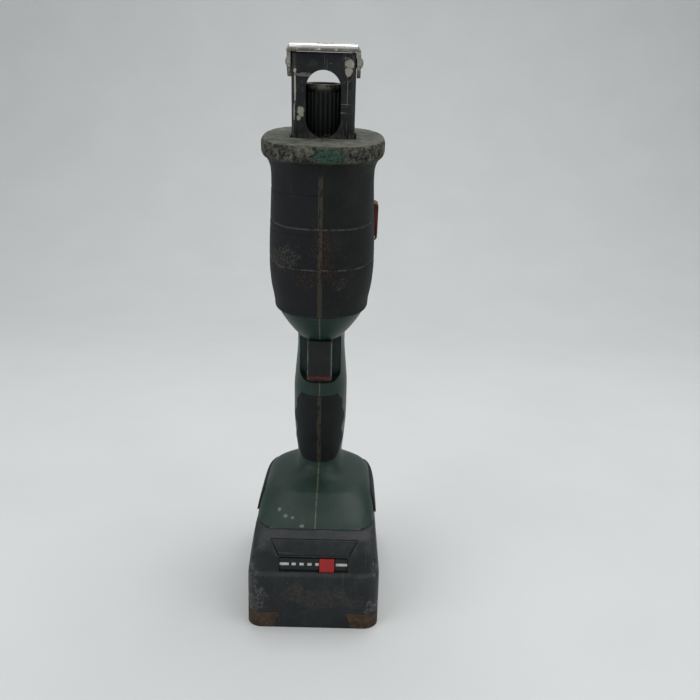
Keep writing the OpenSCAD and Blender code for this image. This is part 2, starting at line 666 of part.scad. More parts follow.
module shoe_plate() {
    face_s = pivot_s + shoe_rise;
    color("silver") on_axis() difference() {
        union() {
            // bent sheet: flat top, both sides turned down
            translate([0, -shoe_front + 1.5, 0]) rotate([-90, 0, 0]) linear_extrude(height = shoe_d - 1.5)
                difference() {
                    translate([0, -face_s]) turned_down(shoe_w, shoe_rise + ear_r + 1, 4);
                    translate([0, -face_s + shoe_t]) turned_down(shoe_w - 2 * ear_t, shoe_rise + ear_r + 1, 2);
                }
            translate([-shoe_w / 2 + 2, -shoe_front + lip_r, face_s - lip_r]) rotate([0, 90, 0])
                cylinder(r = lip_r, h = shoe_w - 4);
        }
        // the turned-down sides are cut back to round ears about the pivot
        for (x = [-1, 1]) translate([x * shoe_w / 2, 0, 0]) rotate([90, 0, 90])
            translate([0, 0, -3]) linear_extrude(height = 6) ear_waste(face_s);
        for (x = [-1, 1]) translate([x * shoe_w / 2 - 3, -pivot_u, pivot_s]) rotate([0, 90, 0])
            cylinder(r = rivet_d / 2 + run_fit, h = 6);
        translate([-slot_w / 2, slot_y0, face_s - 5]) cube([slot_w, slot_y1 - slot_y0, 10]);
        for (y = [slot_y0, slot_y1]) translate([0, y, face_s - 5]) cylinder(r = slot_w / 2, h = 10);
    }
}
module turned_down(w, h, r) {
    translate([-w / 2, r]) square([w, h]);
    translate([-w / 2 + r, 0]) square([w - 2 * r, r + 0.1]);
    for (x = [-1, 1]) translate([x * (w / 2 - r), r]) circle(r = r);
}
module ear_waste(face_s) {
    difference() {
        translate([-shoe_front - 5, pivot_s - ear_r - 5]) square([shoe_d + 20, face_s - shoe_t - pivot_s + ear_r + 4.2]);
        translate([-pivot_u, pivot_s]) circle(r = ear_r);
        translate([-pivot_u - ear_r, pivot_s]) square([2 * ear_r, 20]);
    }
}
module shoe_rivets() {
    color("silver") on_axis() for (x = [0, 1]) mirror([x, 0, 0]) translate([0, -pivot_u, pivot_s]) rotate([0, 90, 0]) {
        translate([0, 0, bracket_w / 2 - side_t]) cylinder(r = rivet_d / 2, h = side_t + gap + ear_t + 0.1);
        translate([0, 0, shoe_w / 2 + 0.1]) rotate_extrude() intersection() {
            translate([0, -2.6]) circle(r = 3.9);
            square([4, 1.3]);
        }
    }
}

// ---------------------------------------------------------------- plunger and blade clamp
plunger_r = plunger_d / 2;
core_s0 = sleeve_s + 1;
core_r = 7.5;
yoke_t = 7;
yoke_h = 13;
roller_r = 4;
module on_drive() {
    on_axis() translate([0, drive_back, 0]) children();
}
module plunger() {
    color("lightgray") on_drive() difference() {
        translate([0, 0, crank_s + yoke_h / 2]) cylinder(r = plunger_r, h = core_s0 - crank_s - yoke_h / 2);
        // flat at the back, to pass the crank and its teeth
        translate([-plunger_r - 1, yoke_t / 2, crank_s]) cube([2 * plunger_r + 2, plunger_r, gear_r + throw + 1]);
    }
}
module scotch_yoke() {
    half = throw + roller_r + 3.5;
    color("gray") on_drive() translate([0, yoke_t / 2, crank_s]) rotate([90, 0, 0]) difference() {
        linear_extrude(height = yoke_t) {
            translate([-half + 2, -yoke_h / 2]) square([2 * half - 4, yoke_h]);
            translate([-half, -yoke_h / 2 + 2]) square([2 * half, yoke_h - 4]);
            for (x = [-1, 1], z = [-1, 1])
                translate([x * (half - 2), z * (yoke_h / 2 - 2)]) circle(r = 2);
        }
        translate([-throw, -roller_r - run_fit, -1]) cube([2 * throw, 2 * (roller_r + run_fit), yoke_t + 2]);
        for (x = [-1, 1]) translate([x * throw, 0, -1]) cylinder(r = roller_r + run_fit, h = yoke_t + 2);
    }
}
module blade_clamp_core() {
    color("dimgray") on_drive() difference() {
        union() {
            translate([0, 0, core_s0]) cylinder(r = core_r, h = sleeve_len - 2);
            translate([0, 0, core_s0]) cylinder(r = core_r + 1.4, h = 1);
        }
        translate([-shank_t / 2, -shank_w / 2, core_s0 + 8]) cube([shank_t, shank_w, 40]);
    }
}
module blade_clamp_sleeve() {
    r = sleeve_d / 2;
    color("#14221f") on_drive() difference() {
        union() {
            translate([0, 0, sleeve_s]) linear_extrude(height = sleeve_len - 4)
                polygon([
                    for (i = [0:sleeve_ribs - 1]) let (a = 360 / sleeve_ribs)
                        each [
                            [(r - 0.9) * cos(a * i), (r - 0.9) * sin(a * i)],
                            [r * cos(a * (i + 0.25)), r * sin(a * (i + 0.25))],
                            [r * cos(a * (i + 0.6)), r * sin(a * (i + 0.6))],
                            [(r - 0.9) * cos(a * (i + 0.85)), (r - 0.9) * sin(a * (i + 0.85))]
                        ]
                ]);
            translate([0, 0, sleeve_s + sleeve_len - 4]) cylinder(r = r - 0.2, h = 4);
        }
        translate([0, 0, sleeve_s - 1]) cylinder(r = core_r + gap, h = sleeve_len + 2);
        translate([0, 0, sleeve_s - 1]) cylinder(r = core_r + 1.4 + gap, h = spring_room + 1);
    }
}
spring_room = 6;
module blade_clamp_spring() {
    color("silver") on_drive() translate([0, 0, core_s0 + 1.5]) helix(core_r + 0.75, 0.4, 1.1, 2.5);
}
module front_bushing() {
    color("goldenrod") on_drive() translate([0, 0, case_top_s]) difference() {
        cylinder(r = plunger_r + 2.2, h = bushing_len);
        translate([0, 0, -1]) cylinder(r = plunger_r + run_fit, h = bushing_len + 2);
    }
}
module dust_seal() {
    color(rubber_black) on_drive() translate([0, 0, bushing_top_s - seal_t]) difference() {
        cylinder(r = plunger_r + 2.2, h = seal_t);
        translate([0, 0, -1]) cylinder(r = plunger_r + run_fit, h = seal_t + 2);
    }
}

// ---------------------------------------------------------------- gear case and crank
bearing_r = 8.5;
bearing_w = 4.5;
axle_r = 4;
face_y = 4.5;
disc_y = face_y + 2;
disc_t = 5;
boss_y = disc_y + disc_t + 3;
case_front = 8.4;
case_back = 6;
case_rear = head_back - rubber_t - wall - 1.9 - drive_back - case_back;
seat_r = case_front + drive_back - case_t;
// flat at the front for the cover, round at the back
module case_section(k) {
    translate([-case_w / 2 + k, case_t - case_front - drive_back])
        square([case_w - 2 * k, case_front + drive_back - case_t + case_back]);
    polygon([
        [case_w / 2 - k, case_back - 0.1],
        for (a = [0:6:180]) [(case_w / 2 - k) * cos(a), case_back + (case_rear - k) * sin(a)],
        [k - case_w / 2, case_back - 0.1]
    ]);
}
module gear_case() {
    row = row_at(body_rows, case_s);
    seat_in = -rubber_t - 0.2 - wall - gap - 0.15;
    color("darkgray") {
        difference() {
            union() {
                for (side = [0, 1]) mirror([side, 0, 0]) loft([
                    for (s = [case_s, case_s + floor_t])
                        [for (i = [0:12]) body_point([s, row[1], row[2], row[3], row[4], 1], 90 - 15 * i, seat_in),
                         for (i = [12:-1:0]) let (p = body_point([s, row[1], row[2], row[3], row[4], 1], 90 - 15 * i, seat_in)) [0, p[1], p[2]]]
                ]);
                on_drive() translate([0, 0, case_s + floor_t - 0.1]) cylinder(r = seat_r, h = 2.1);
            }
            on_drive() translate([0, 0, case_s - 1]) cylinder(r = 8, h = 8);
        }
        on_drive() difference() {
            union() {
                translate([0, 0, case_s + floor_t]) linear_extrude(height = case_top_s + floor_t - case_s - floor_t)
                    case_section(0);
                translate([0, 0, case_top_s]) cylinder(r = plunger_r + 4, h = bushing_top_s - case_top_s);
            }
            difference() {
                translate([0, 0, case_s + floor_t - 1]) linear_extrude(height = case_top_s - case_s - floor_t + 1)
                    case_section(case_t);
                translate([0, boss_y, crank_s]) rotate([-90, 0, 0]) cylinder(r = bearing_r + 2.5, h = 30);
            }
            translate([0, boss_y - 1, crank_s]) rotate([-90, 0, 0]) cylinder(r = bearing_r, h = 2 * bearing_w + 2.5);
            translate([0, 0, case_s]) cylinder(r = plunger_r + 2.2, h = nose_s - case_s);
            translate([0, 0, case_s]) cylinder(r = seat_r + gap, h = floor_t + 2.2);
        }
    }
}
module gear_case_cover() {
    color("gray") on_drive() translate([-case_w / 2, -case_front - drive_back, case_s + floor_t + 0.05])
        cube([case_w, case_t - 0.05, case_top_s - case_s - floor_t - 0.1]);
}
module crank_gear() {
    a = 360 / gear_teeth;
    color("dimgray") on_drive() translate([0, 0, crank_s]) rotate([-90, 0, 0]) {
        translate([0, 0, disc_y]) difference() {
            cylinder(r = gear_r, h = disc_t);
            // lightening holes beside the crank pin
            for (b = [110, 180, 250]) rotate(b) translate([gear_r * 0.58, 0, -1]) cylinder(r = 3, h = disc_t + 2);
        }
        translate([0, 0, face_y + 0.35]) linear_extrude(height = disc_y - face_y - 0.3)
            for (i = [0:gear_teeth - 1]) rotate(i * a)
                polygon([[gear_r - 4, -0.55], [gear_r - 0.1, -0.9], [gear_r - 0.1, 0.9], [gear_r - 4, 0.55]]);
        translate([0, 0, disc_y + disc_t]) cylinder(r = axle_r + 2, h = 2.6);
        translate([0, 0, disc_y + disc_t]) cylinder(r = axle_r, h = 3 + 2 * bearing_w + 1);
    }
}
module crank_roller() {
    color("silver") on_drive() translate([throw, yoke_t / 2 + 0.4, crank_s]) rotate([-90, 0, 0])
        cylinder(r = roller_r, h = disc_y - yoke_t / 2 - 0.4);
}
module ring(r_out, r_in, h) {
    difference() {
        cylinder(r = r_out, h = h);
        translate([0, 0, -1]) cylinder(r = r_in, h = h + 2);
    }
}
module crank_bearings() {
    color("silver") on_drive() for (i = [0, 1])
        translate([0, boss_y + i * (bearing_w + 0.4), crank_s]) rotate([-90, 0, 0])
            ring(bearing_r, axle_r + run_fit, bearing_w);
}

// ---------------------------------------------------------------- motor
shaft_r = 2.5;
rotor_r = 11;
module motor_pinion() {
    r = face_y - 0.3;
    a = 360 / pinion_teeth;
    color("dimgray") on_drive() translate([0, 0, case_s + floor_t + 2.6]) linear_extrude(height = 5.2) difference() {
        polygon([
            for (i = [0:pinion_teeth - 1]) each [
                [(r - 1) * cos(a * i), (r - 1) * sin(a * i)], [r * cos(a * (i + 0.3)), r * sin(a * (i + 0.3))],
                [r * cos(a * (i + 0.5)), r * sin(a * (i + 0.5))], [(r - 1) * cos(a * (i + 0.8)), (r - 1) * sin(a * (i + 0.8))]
            ]
        ]);
        circle(r = shaft_r);
    }
}
module motor_can() {
    r = motor_d / 2;
    color("dimgray") on_drive() translate([0, 0, motor_s]) difference() {
        cylinder(r = r, h = motor_len);
        difference() {
            translate([0, 0, 2]) cylinder(r = r - 1.5, h = motor_len - 4);
            translate([0, 0, 1]) cylinder(r = 8.5, h = 4);
        }
        translate([0, 0, -1]) cylinder(r = 6.5, h = 8);
        translate([0, 0, motor_len - 3]) cylinder(r = 8, h = 4);
        // cooling windows in the rear face
        for (i = [0:5]) rotate(60 * i) translate([14, 0, -1]) cylinder(r = 3, h = 4);
    }
}
module motor_stator() {
    r = motor_d / 2 - 1.5;
    color("chocolate") on_drive() translate([0, 0, motor_s + 5]) {
        ring(r - 0.02, r - 3, motor_len - 10);
        for (i = [0:5]) rotate(60 * i + 30) translate([rotor_r + 0.6, -2.5, 2]) cube([r - rotor_r - 2.6, 5, motor_len - 14]);
    }
}
module motor_rotor() {
    color("gray") on_drive() {
        translate([0, 0, motor_s + 6]) cylinder(r = rotor_r, h = motor_len - 12);
        translate([0, 0, motor_s - 3.5]) cylinder(r = shaft_r, h = motor_len + 3.5 + floor_t + 7.8);
    }
}
fan_r = 16;
module motor_fan() {
    color("#303030") on_drive() translate([0, 0, motor_s - 3.2]) {
        ring(fan_r, shaft_r, 1);
        ring(shaft_r + 2, shaft_r, 2.4);
        for (i = [0:10]) rotate(360 / 11 * i) translate([5, -0.5, 0.9]) cube([fan_r - 5.5, 1, 1.5]);
    }
}
module front_motor_bearing() {
    color("silver") on_drive() translate([0, 0, case_s + 0.1]) ring(8, shaft_r + run_fit, 5);
}
module rear_motor_bearing() {
    color("silver") on_drive() translate([0, 0, motor_s + 0.5]) ring(6.5, shaft_r + run_fit, 4);
}

// ---------------------------------------------------------------- battery
deck_z = batt_h - 11;
cavity_back = 9;
channel_w = batt_w - 23;
channel_front = 46.6;
case_side = batt_w / 2;
function corner_ring(hw, front, back, r, z) = [
    for (c = [[1, -1, -90], [1, 1, 0], [-1, 1, 90], [-1, -1, 180]], k = [0:3])
        let (a = c[2] + 30 * k)
            [c[0] * (hw - r) + r * cos(a), (c[1] < 0 ? -front + r : back - r) + r * sin(a), z]
];
case_form = [
    [tray_h, 0, 0], [deck_z - 16, 0, 0], [deck_z - 12.5, 0.1, 0.4], [deck_z - 9.8, 0.3, 2.4],
    [deck_z, 1.6, 3.2], [batt_h - 3.5, 2.6, 7.6], [batt_h, 3, 14]
];
module front_plate_outline(w0, w1, z0, z1) {
    polygon([[-w0 / 2, z0], [w0 / 2, z0], [w1 / 2, z1], [-w1 / 2, z1]]);
}
band_z = deck_z - 10.1;
release_z = deck_z + 0.4;
display_y = -batt_front + 4.2;
release_back = -batt_front + 9.6;
module battery_case() {
    color("#23272c") difference() {
        union() {
            difference() {
                loft([for (f = case_form) corner_ring(case_side - f[1], batt_front - f[2], batt_back - f[1], batt_r, f[0])]);
                translate([-channel_w / 2, -channel_front, deck_z]) cube([channel_w, channel_front + batt_back + 5, 20]);
            }
            // rails that the tool slides on to
            for (x = [-1, 1]) translate([x * (channel_w / 2 - 1.4) - 1.5, -38, deck_z + 4]) cube([3, batt_back + 34, 2.4]);
        }
        translate([-case_side + batt_wall, -batt_front + 2 * batt_wall, tray_h - 1])
            cube([batt_w - 2 * batt_wall, batt_front + batt_back - 2 * batt_wall - cavity_back, deck_z - tray_h - 1.5]);
        // recess for the display band and pocket for the release button
        translate([0, display_y, 0]) rotate([90, 0, 0]) linear_extrude(height = 10)
            front_plate_outline(band_w + 0.4, band_w + 0.4, band_z - 0.2, band_z + band_h + 0.7);
        translate([0, release_back + release_travel + gap, 0]) rotate([90, 0, 0]) linear_extrude(height = 20)
            front_plate_outline(band_w + 2, release_w + 2, release_z - gap, release_z + release_h + gap);
        translate([charge_x - charge_w / 2 - gap, -batt_front, band_z - 0.2])
            cube([charge_w + 2 * gap, 5.4, band_h + 0.4]);
    }
}
charge_x = 7.9;
module tray_section(k) {
    r = batt_r - k;
    translate([-case_side + k, -batt_front + batt_r]) square([batt_w - 2 * k, batt_front + batt_back - 2 * batt_r]);
    translate([-case_side + batt_r, -batt_front + k]) square([batt_w - 2 * batt_r, batt_front + batt_back - 2 * k]);
    for (x = [-1, 1], y = [-batt_front + batt_r, batt_back - batt_r])
        translate([x * (case_side - batt_r), y]) circle(r = r);
}
// Corner zones, whose upright edges lean in towards the top
module bumper_zones() {
    for (x = [0, 1]) mirror([x, 0, 0]) {
        translate([0, 90, 0]) rotate([90, 0, 0]) linear_extrude(height = 180)
            polygon([[case_side - bumper_w - 3.5, bumper_h], [case_side - bumper_w, 0], [60, 0], [60, bumper_h]]);
    }
}
module bumper_ends() {
    for (y = [-batt_front - 5, batt_back - 24]) translate([-60, y, -1]) cube([120, 29, bumper_h + 1]);
}
bumper_t = 2;
module battery_tray() {
    color("#23272c") difference() {
        linear_extrude(height = tray_h) tray_section(0);
        translate([-case_side + batt_wall, -batt_front + 2 * batt_wall, 2.5])
            cube([batt_w - 2 * batt_wall, batt_front + batt_back - 2 * batt_wall - cavity_back, 20]);
        battery_bumper_solids();
    }
}
module battery_bumper_solids() {
    intersection() {
        linear_extrude(height = bumper_h) difference() {
            tray_section(0);
            tray_section(bumper_t);
        }
        bumper_zones();
        bumper_ends();
    }
}
module battery_corner_bumpers() { color("#5b4436") battery_bumper_solids(); }
cell_y0 = -44;
cell_pitch = 19.6;
cell_z = [2.5 + cell_d / 2 + 1, 2.5 + cell_d * 1.5 + 2.2];
module cell_places() {
    for (i = [0:4], z = cell_z) translate([0, cell_y0 + i * cell_pitch, z]) rotate([0, 90, 0]) children();
}
module battery_cells() {
    color("steelblue") cell_places() translate([0, 0, -cell_l / 2]) cylinder(d = cell_d, h = cell_l);
}
module cell_frames() {
    color("dimgray") for (x = [-1, 1]) difference() {
        translate([x * (cell_l / 2 - 4) - 2, cell_y0 - 11, 2.5]) cube([4, 4 * cell_pitch + 22, 2 * cell_d + 3.3]);
        cell_places() translate([0, 0, -cell_l]) cylinder(d = cell_d + 0.1, h = 2 * cell_l);
    }
}
contact_y = 20;
contact_len = 16;
terminal_t = 4;
contact_x = [-9.9, -3.3, 3.3, 9.9];
module battery_contacts() {
    color("#1a1a1c") difference() {
        translate([-14, contact_y, deck_z]) cube([28, contact_len, 7.4]);
        for (x = contact_x) translate([x - 0.9, contact_y + 6, deck_z + 1.4]) cube([1.8, 30, 10]);
    }
}
module battery_board() {
    color("darkgreen") translate([-channel_w / 2 + 7, -channel_front / 2, deck_z - 4]) cube([channel_w - 14, 1.25 * channel_front, 1.2]);
}
spring_r = 1.2;
spring_x = 14;
module release_button() {
    color("#1c1f23") difference() {
        intersection() {
            translate([0, release_back, 0]) rotate([90, 0, 0]) linear_extrude(height = 12)
                front_plate_outline(band_w + 1.4, release_w + 1, release_z, release_z + release_h);
            // the face follows the slope of the case
            translate([-40, 0, 0]) rotate([90, 0, 90]) linear_extrude(height = 80)
                polygon([[-batt_front + 3.5, release_z], [-batt_front + 7.4, release_z + release_h], [0, release_z + release_h], [0, release_z]]);
        }
        for (x = [-spring_x, spring_x]) translate([x, release_back - release_travel - gap, release_z + release_h / 2])
            rotate([-90, 0, 0]) cylinder(r = spring_r + 0.3, h = 10);
    }
}
module release_springs() {
    length = release_travel + gap - 0.05;
    color("silver") for (x = [-spring_x, spring_x])
        translate([x, release_back + gap + release_travel - length, release_z + release_h / 2]) rotate([-90, 0, 0])
            cylinder(r = spring_r, h = length);
}
module charge_button() {
    color("#c8322c") translate([charge_x - charge_w / 2, display_y - 1.8, band_z])
        cube([charge_w, 1.7, band_h - 0.2]);
}
module charge_display() {
    color("#111417") difference() {
        translate([-band_w / 2, display_y - 0.9, band_z]) cube([band_w, 0.9, band_h - 0.2]);
        translate([charge_x - charge_w / 2 - gap, display_y - 5, band_z - 1]) cube([charge_w + 2 * gap, 10, band_h + 2]);
    }
}

// ---------------------------------------------------------------- battery mount on the tool
slide_w = channel_w - 2 * gap;
module battery_slideway() {
    top_z = batt_h + gap + 0.2;
    color("#2c2c2e") {
        difference() {
            union() {
                translate([-slide_w / 2, -channel_front + gap, deck_z + gap])
                    cube([slide_w, channel_front + foot_back - 6, batt_h - deck_z]);
                translate([2 - slide_w / 2, 8 - channel_front, batt_h - 1])
                    cube([slide_w - 4, channel_front + foot_back - 14, top_z - batt_h + 1]);
            }
            translate([-16, -channel_front - 5, deck_z - 1])
                cube([32, channel_front + 5 + contact_y + contact_len + gap + terminal_t, 9.7]);
            for (x = [-1, 1]) translate([x * (channel_w / 2 - 1.5) - 2, -80, deck_z + 4 - gap])
                cube([4, 200, 2.4 + 2 * gap]);
        }
        for (side = [0, 1]) mirror([side, 0, 0]) loft([
            for (r = [foot_rows[0], foot_rows[1]])
                [for (i = [0:12]) body_point(r, 90 - 15 * i, -wall - gap - 0.05),
                 for (i = [12:-1:0]) let (p = body_point(r, 90 - 15 * i, -wall - gap - 0.05)) [0, p[1], p[2]]]
        ]);
    }
}
module terminal_block() {
    color("#b08d57") {
        translate([-13, contact_y + contact_len + gap, deck_z + 8.7 - 7]) cube([26, terminal_t, 7]);
        for (x = contact_x) translate([x - 0.5, contact_y + 8, deck_z + 2.2]) cube([1, contact_len - 8 + gap + 0.1, 5]);
    }
}

left_housing_shell();
right_housing_shell();
left_head_sleeve();
right_head_sleeve();
left_grip_pad();
right_grip_pad();
left_rear_pad();
right_rear_pad();
foot_side_pads();
housing_screws();
trigger();
trigger_toe();
trigger_spring();
trigger_switch();
control_board();
shoe_lock_lever();
lever_pin();
shoe_clamp_plate();
shoe_bracket();
shoe_plate();
shoe_rivets();
plunger();
scotch_yoke();
blade_clamp_core();
blade_clamp_sleeve();
blade_clamp_spring();
front_bushing();
dust_seal();
gear_case();
gear_case_cover();
crank_gear();
crank_roller();
crank_bearings();
motor_pinion();
motor_can();
motor_stator();
motor_rotor();
motor_fan();
front_motor_bearing();
rear_motor_bearing();
battery_slideway();
terminal_block();
battery_case();
battery_tray();
battery_corner_bumpers();
battery_cells();
cell_frames();
battery_contacts();
battery_board();
release_button();
release_springs();
charge_button();
charge_display();
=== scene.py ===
import json
import math

import bmesh
import bpy
import numpy as np
from mathutils import Euler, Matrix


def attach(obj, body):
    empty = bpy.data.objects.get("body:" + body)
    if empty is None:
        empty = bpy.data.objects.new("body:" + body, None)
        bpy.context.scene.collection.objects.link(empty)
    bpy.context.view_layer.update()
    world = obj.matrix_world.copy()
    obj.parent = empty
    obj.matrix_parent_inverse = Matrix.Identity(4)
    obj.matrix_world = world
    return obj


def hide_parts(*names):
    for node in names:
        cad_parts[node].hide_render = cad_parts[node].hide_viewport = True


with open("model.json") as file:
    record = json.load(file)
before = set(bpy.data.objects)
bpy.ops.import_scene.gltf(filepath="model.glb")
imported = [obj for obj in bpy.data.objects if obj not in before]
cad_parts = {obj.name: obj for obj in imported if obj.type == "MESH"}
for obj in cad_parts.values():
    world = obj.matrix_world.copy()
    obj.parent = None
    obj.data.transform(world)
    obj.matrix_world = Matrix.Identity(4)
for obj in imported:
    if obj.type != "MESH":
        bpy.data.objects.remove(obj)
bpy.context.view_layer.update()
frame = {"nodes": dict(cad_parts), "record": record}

bl_info = {
    "name": "Reciprocating Saw",
    "version": (1, 0, 0),
    "blender": (4, 5, 0),
    "location": "3D View > Sidebar > Saw",
    "description": "Dresses the saw's frame with its moulded housing, rubber sleeve, pack, shoe and finishes",
    "category": "Add Mesh",
}

MM_PER_M = 1000.0
MM = 0.001

# ---------------------------------------------------------------- sizes, in millimetres
LEAN = math.radians(11)
AXIS_BACK = 34.0
GAP = 0.3
BATT_W, BATT_H, BATT_FRONT, BATT_BACK, BATT_R = 79.0, 57.0, 62.0, 58.0, 9.0
TRAY_H = 12.3
FOOT_W, FOOT_FRONT, FOOT_BACK, FOOT_H, BLEND_H = 74.0, 47.0, 50.0, 15.0, 14.6
GRIP_LEN, GRIP_W, GRIP_D, NECK_W, PALM = 57.0, 34.2, 47.0, 29.6, 25.0
TRIGGER_ROOM, WELL_W, WELL_U, WELL_R, TRIGGER_W = 31.5, 25.6, 9.0, 6.0, 14.8
CHIN_LEN, HEAD_LEN, HEAD_W, HEAD_D = 17.5, 88.5, 62.0, 73.0
GUARD_W, GUARD_D, GUARD_T = 69.0, 84.0, 9.0
RUBBER_T, WALL = 2.0, 2.5
BRACKET_W, BRACKET_FRONT, BRACKET_BACK = 34.4, 11.4, 14.0
LEVER_W, LEVER_LEN, LEVER_HUB_R = 10.0, 22.2, 2.6
STEM_R = 3.0

BASE_S = (BATT_H + GAP) / math.cos(LEAN)
SHOULDER_S = (BATT_H + GAP + FOOT_H) / math.cos(LEAN)
GRIP_S = SHOULDER_S + BLEND_H
WELL_S = GRIP_S + GRIP_LEN
CHIN_S = WELL_S + TRIGGER_ROOM
HEAD_S = CHIN_S + CHIN_LEN
GUARD_S = HEAD_S + HEAD_LEN
NOSE_S = GUARD_S + GUARD_T
CORE_TOP_S = NOSE_S - 3
CLAMP_TOP = NOSE_S + 0.6 + 26.6
LEVER_PIN_S = GUARD_S - 48
LEVER_PIN_X = HEAD_W / 2 - 1.1
STEM_S = WELL_S + 0.64 * TRIGGER_ROOM


def axis_y(s):
    """World y of the leaning axis at place s: it runs back to front as it rises."""
    return AXIS_BACK - s * math.sin(LEAN)


def foot_rows():
    """Rows of the foot: the width goes from the base to the neck and the front draws back to the grip."""
    form = [(0, 1, 0, 5.5, 0), (0.18, 0.981, 0.078, 5, 0), (0.45, 0.934, 0.233, 4.4, 0), (0.68, 0.85, 0.378, 3.8, 0),
            (0.85, 0.709, 0.489, 3.3, 0), (0.953, 0.484, 0.578, 2.9, 0.1), (1.033, 0.225, 0.656, 2.6, 0.2),
            (1.147, 0.061, 0.756, 2.4, 0.35), (1.35, 0.01, 0.878, 2.3, 0.6)]
    rows = []
    for high, wide, back, square, lean in form:
        s = (BATT_H + GAP + high * FOOT_H) / math.cos(LEAN)
        front_y = -FOOT_FRONT + back * (FOOT_FRONT - 2)
        back_y = FOOT_BACK - 6.6 * (high / 1.35) ** 3
        rows.append((s, (NECK_W + wide * (FOOT_W - NECK_W)) / 2, axis_y(s) - front_y, back_y - axis_y(s), square,
                lean))
    return rows


def grip_rows():
    """Rows of the grip and neck: place, half width, front, back, squareness, share of the lean."""
    front = GRIP_D - PALM
    return [
        (GRIP_S - 4, NECK_W / 2, front - 0.5, PALM + 0.5, 2.3, 1),
        (GRIP_S, GRIP_W / 2 - 2, front - 2, PALM, 2.3, 1),
        (GRIP_S + 0.21 * GRIP_LEN, GRIP_W / 2 - 0.9, front - 1.5, PALM, 2.3, 1),
        (GRIP_S + 0.5 * GRIP_LEN, GRIP_W / 2, front - 0.2, PALM, 2.3, 1),
        (GRIP_S + 0.81 * GRIP_LEN, GRIP_W / 2, front - 0.7, PALM, 2.3, 1),
        (WELL_S, (GRIP_W + NECK_W) / 4 + 0.4, front - 2.5, PALM + 0.5, 2.3, 1),
        (WELL_S + 0.67 * TRIGGER_ROOM, NECK_W / 2, front - 3, PALM + 2.5, 2.3, 1),
        (WELL_S + 0.85 * TRIGGER_ROOM, NECK_W / 2, front - 1.5, PALM + 3.6, 2.3, 1)]


HEAD_FRONT, HEAD_BACK = HEAD_D / 2 - 0.5, HEAD_D / 2 + 0.5
HEAD_ROWS = [
    (CHIN_S, NECK_W / 2 + 1.2, HEAD_FRONT - 12.5, HEAD_BACK - 7.5, 2.3, 1),
    (CHIN_S + 0.2 * CHIN_LEN, HEAD_W / 2 - 12.1, HEAD_FRONT - 10, HEAD_BACK - 6, 2.3, 1),
    (CHIN_S + 0.54 * CHIN_LEN, HEAD_W / 2 - 8.1, HEAD_FRONT - 7, HEAD_BACK - 4.5, 2.4, 1),
    (CHIN_S + 0.886 * CHIN_LEN, HEAD_W / 2 - 4.9, HEAD_FRONT - 4.5, HEAD_BACK - 3, 2.5, 1),
    (HEAD_S + 0.068 * HEAD_LEN, HEAD_W / 2 - 2.2, HEAD_FRONT - 2.5, HEAD_BACK - 1.5, 2.6, 1),
    (HEAD_S + 0.18 * HEAD_LEN, HEAD_W / 2 - 0.6, HEAD_FRONT - 1, HEAD_BACK - 0.7, 2.6, 1),
    (HEAD_S + 0.3 * HEAD_LEN, HEAD_W / 2, HEAD_FRONT - 0.2, HEAD_BACK - 0.1, 2.6, 1),
    (HEAD_S + 0.43 * HEAD_LEN, HEAD_W / 2 - 0.2, HEAD_FRONT, HEAD_BACK, 2.6, 1),
    (HEAD_S + 0.7 * HEAD_LEN, HEAD_W / 2 - 1.3, HEAD_FRONT - 0.7, HEAD_BACK - 0.5, 2.6, 1),
    (HEAD_S + 0.86 * HEAD_LEN, HEAD_W / 2 - 1.8, HEAD_FRONT - 1.5, HEAD_BACK - 1, 2.6, 1)]
BODY = np.array(foot_rows() + grip_rows() + HEAD_ROWS)
GUARD_FRONT, GUARD_BACK = GUARD_D / 2 - 1, GUARD_D / 2 + 1
GUARD = [
    (GUARD_S - 8, HEAD_W / 2 - 1.6, HEAD_FRONT - 1.5, HEAD_BACK - 1, 2.6, 1),
    (GUARD_S - 4, HEAD_W / 2 - 0.6, HEAD_FRONT - 0.4, HEAD_BACK, 2.6, 1),
    (GUARD_S - 1.2, GUARD_W / 2 - 2.4, GUARD_FRONT - 3.4, GUARD_BACK - 3.4, 2.5, 1),
    (GUARD_S + 0.2, GUARD_W / 2 - 0.8, GUARD_FRONT - 1.2, GUARD_BACK - 1.2, 2.5, 1),
    (GUARD_S + 0.3 * GUARD_T, GUARD_W / 2, GUARD_FRONT, GUARD_BACK, 2.5, 1),
    (GUARD_S + 0.72 * GUARD_T, GUARD_W / 2, GUARD_FRONT - 0.2, GUARD_BACK - 0.2, 2.5, 1),
    (GUARD_S + 0.94 * GUARD_T, GUARD_W / 2 - 0.7, GUARD_FRONT - 1, GUARD_BACK - 1, 2.5, 1),
    (NOSE_S, GUARD_W / 2 - 1.8, GUARD_FRONT - 2.2, GUARD_BACK - 2.2, 2.5, 1)]
SLEEVE = np.array([r for r in HEAD_ROWS if r[0] >= HEAD_S] + GUARD)


# ---------------------------------------------------------------- surfaces
def along(table, s):
    """Rows of a table at places s, as a cubic between rows whose slope at a row is the harmonic mean of its
    neighbours'."""
    s = np.atleast_1d(np.asarray(s, float))
    x, y = table[:, 0], table[:, 1:]
    step = np.diff(x)[:, None]
    d = np.diff(y, axis=0) / step
    a, b = d[:-1], d[1:]
    both = a * b > 0
    mid = np.where(both, 2 * a * b / np.where(both, a + b, 1), 0)
    slope = np.vstack([d[:1], mid, d[-1:]])
    i = np.clip(np.searchsorted(x, s, side="right") - 1, 0, len(x) - 2)
    h = step[i]
    v = ((s - x[i]) / h[:, 0])[:, None]
    return np.hstack([s[:, None],
                      (2 * v ** 3 - 3 * v ** 2 + 1) * y[i] + (v ** 3 - 2 * v ** 2 + v) * h * slope[i]
                      + (3 * v ** 2 - 2 * v ** 3) * y[i + 1] + (v ** 3 - v ** 2) * h * slope[i + 1]])


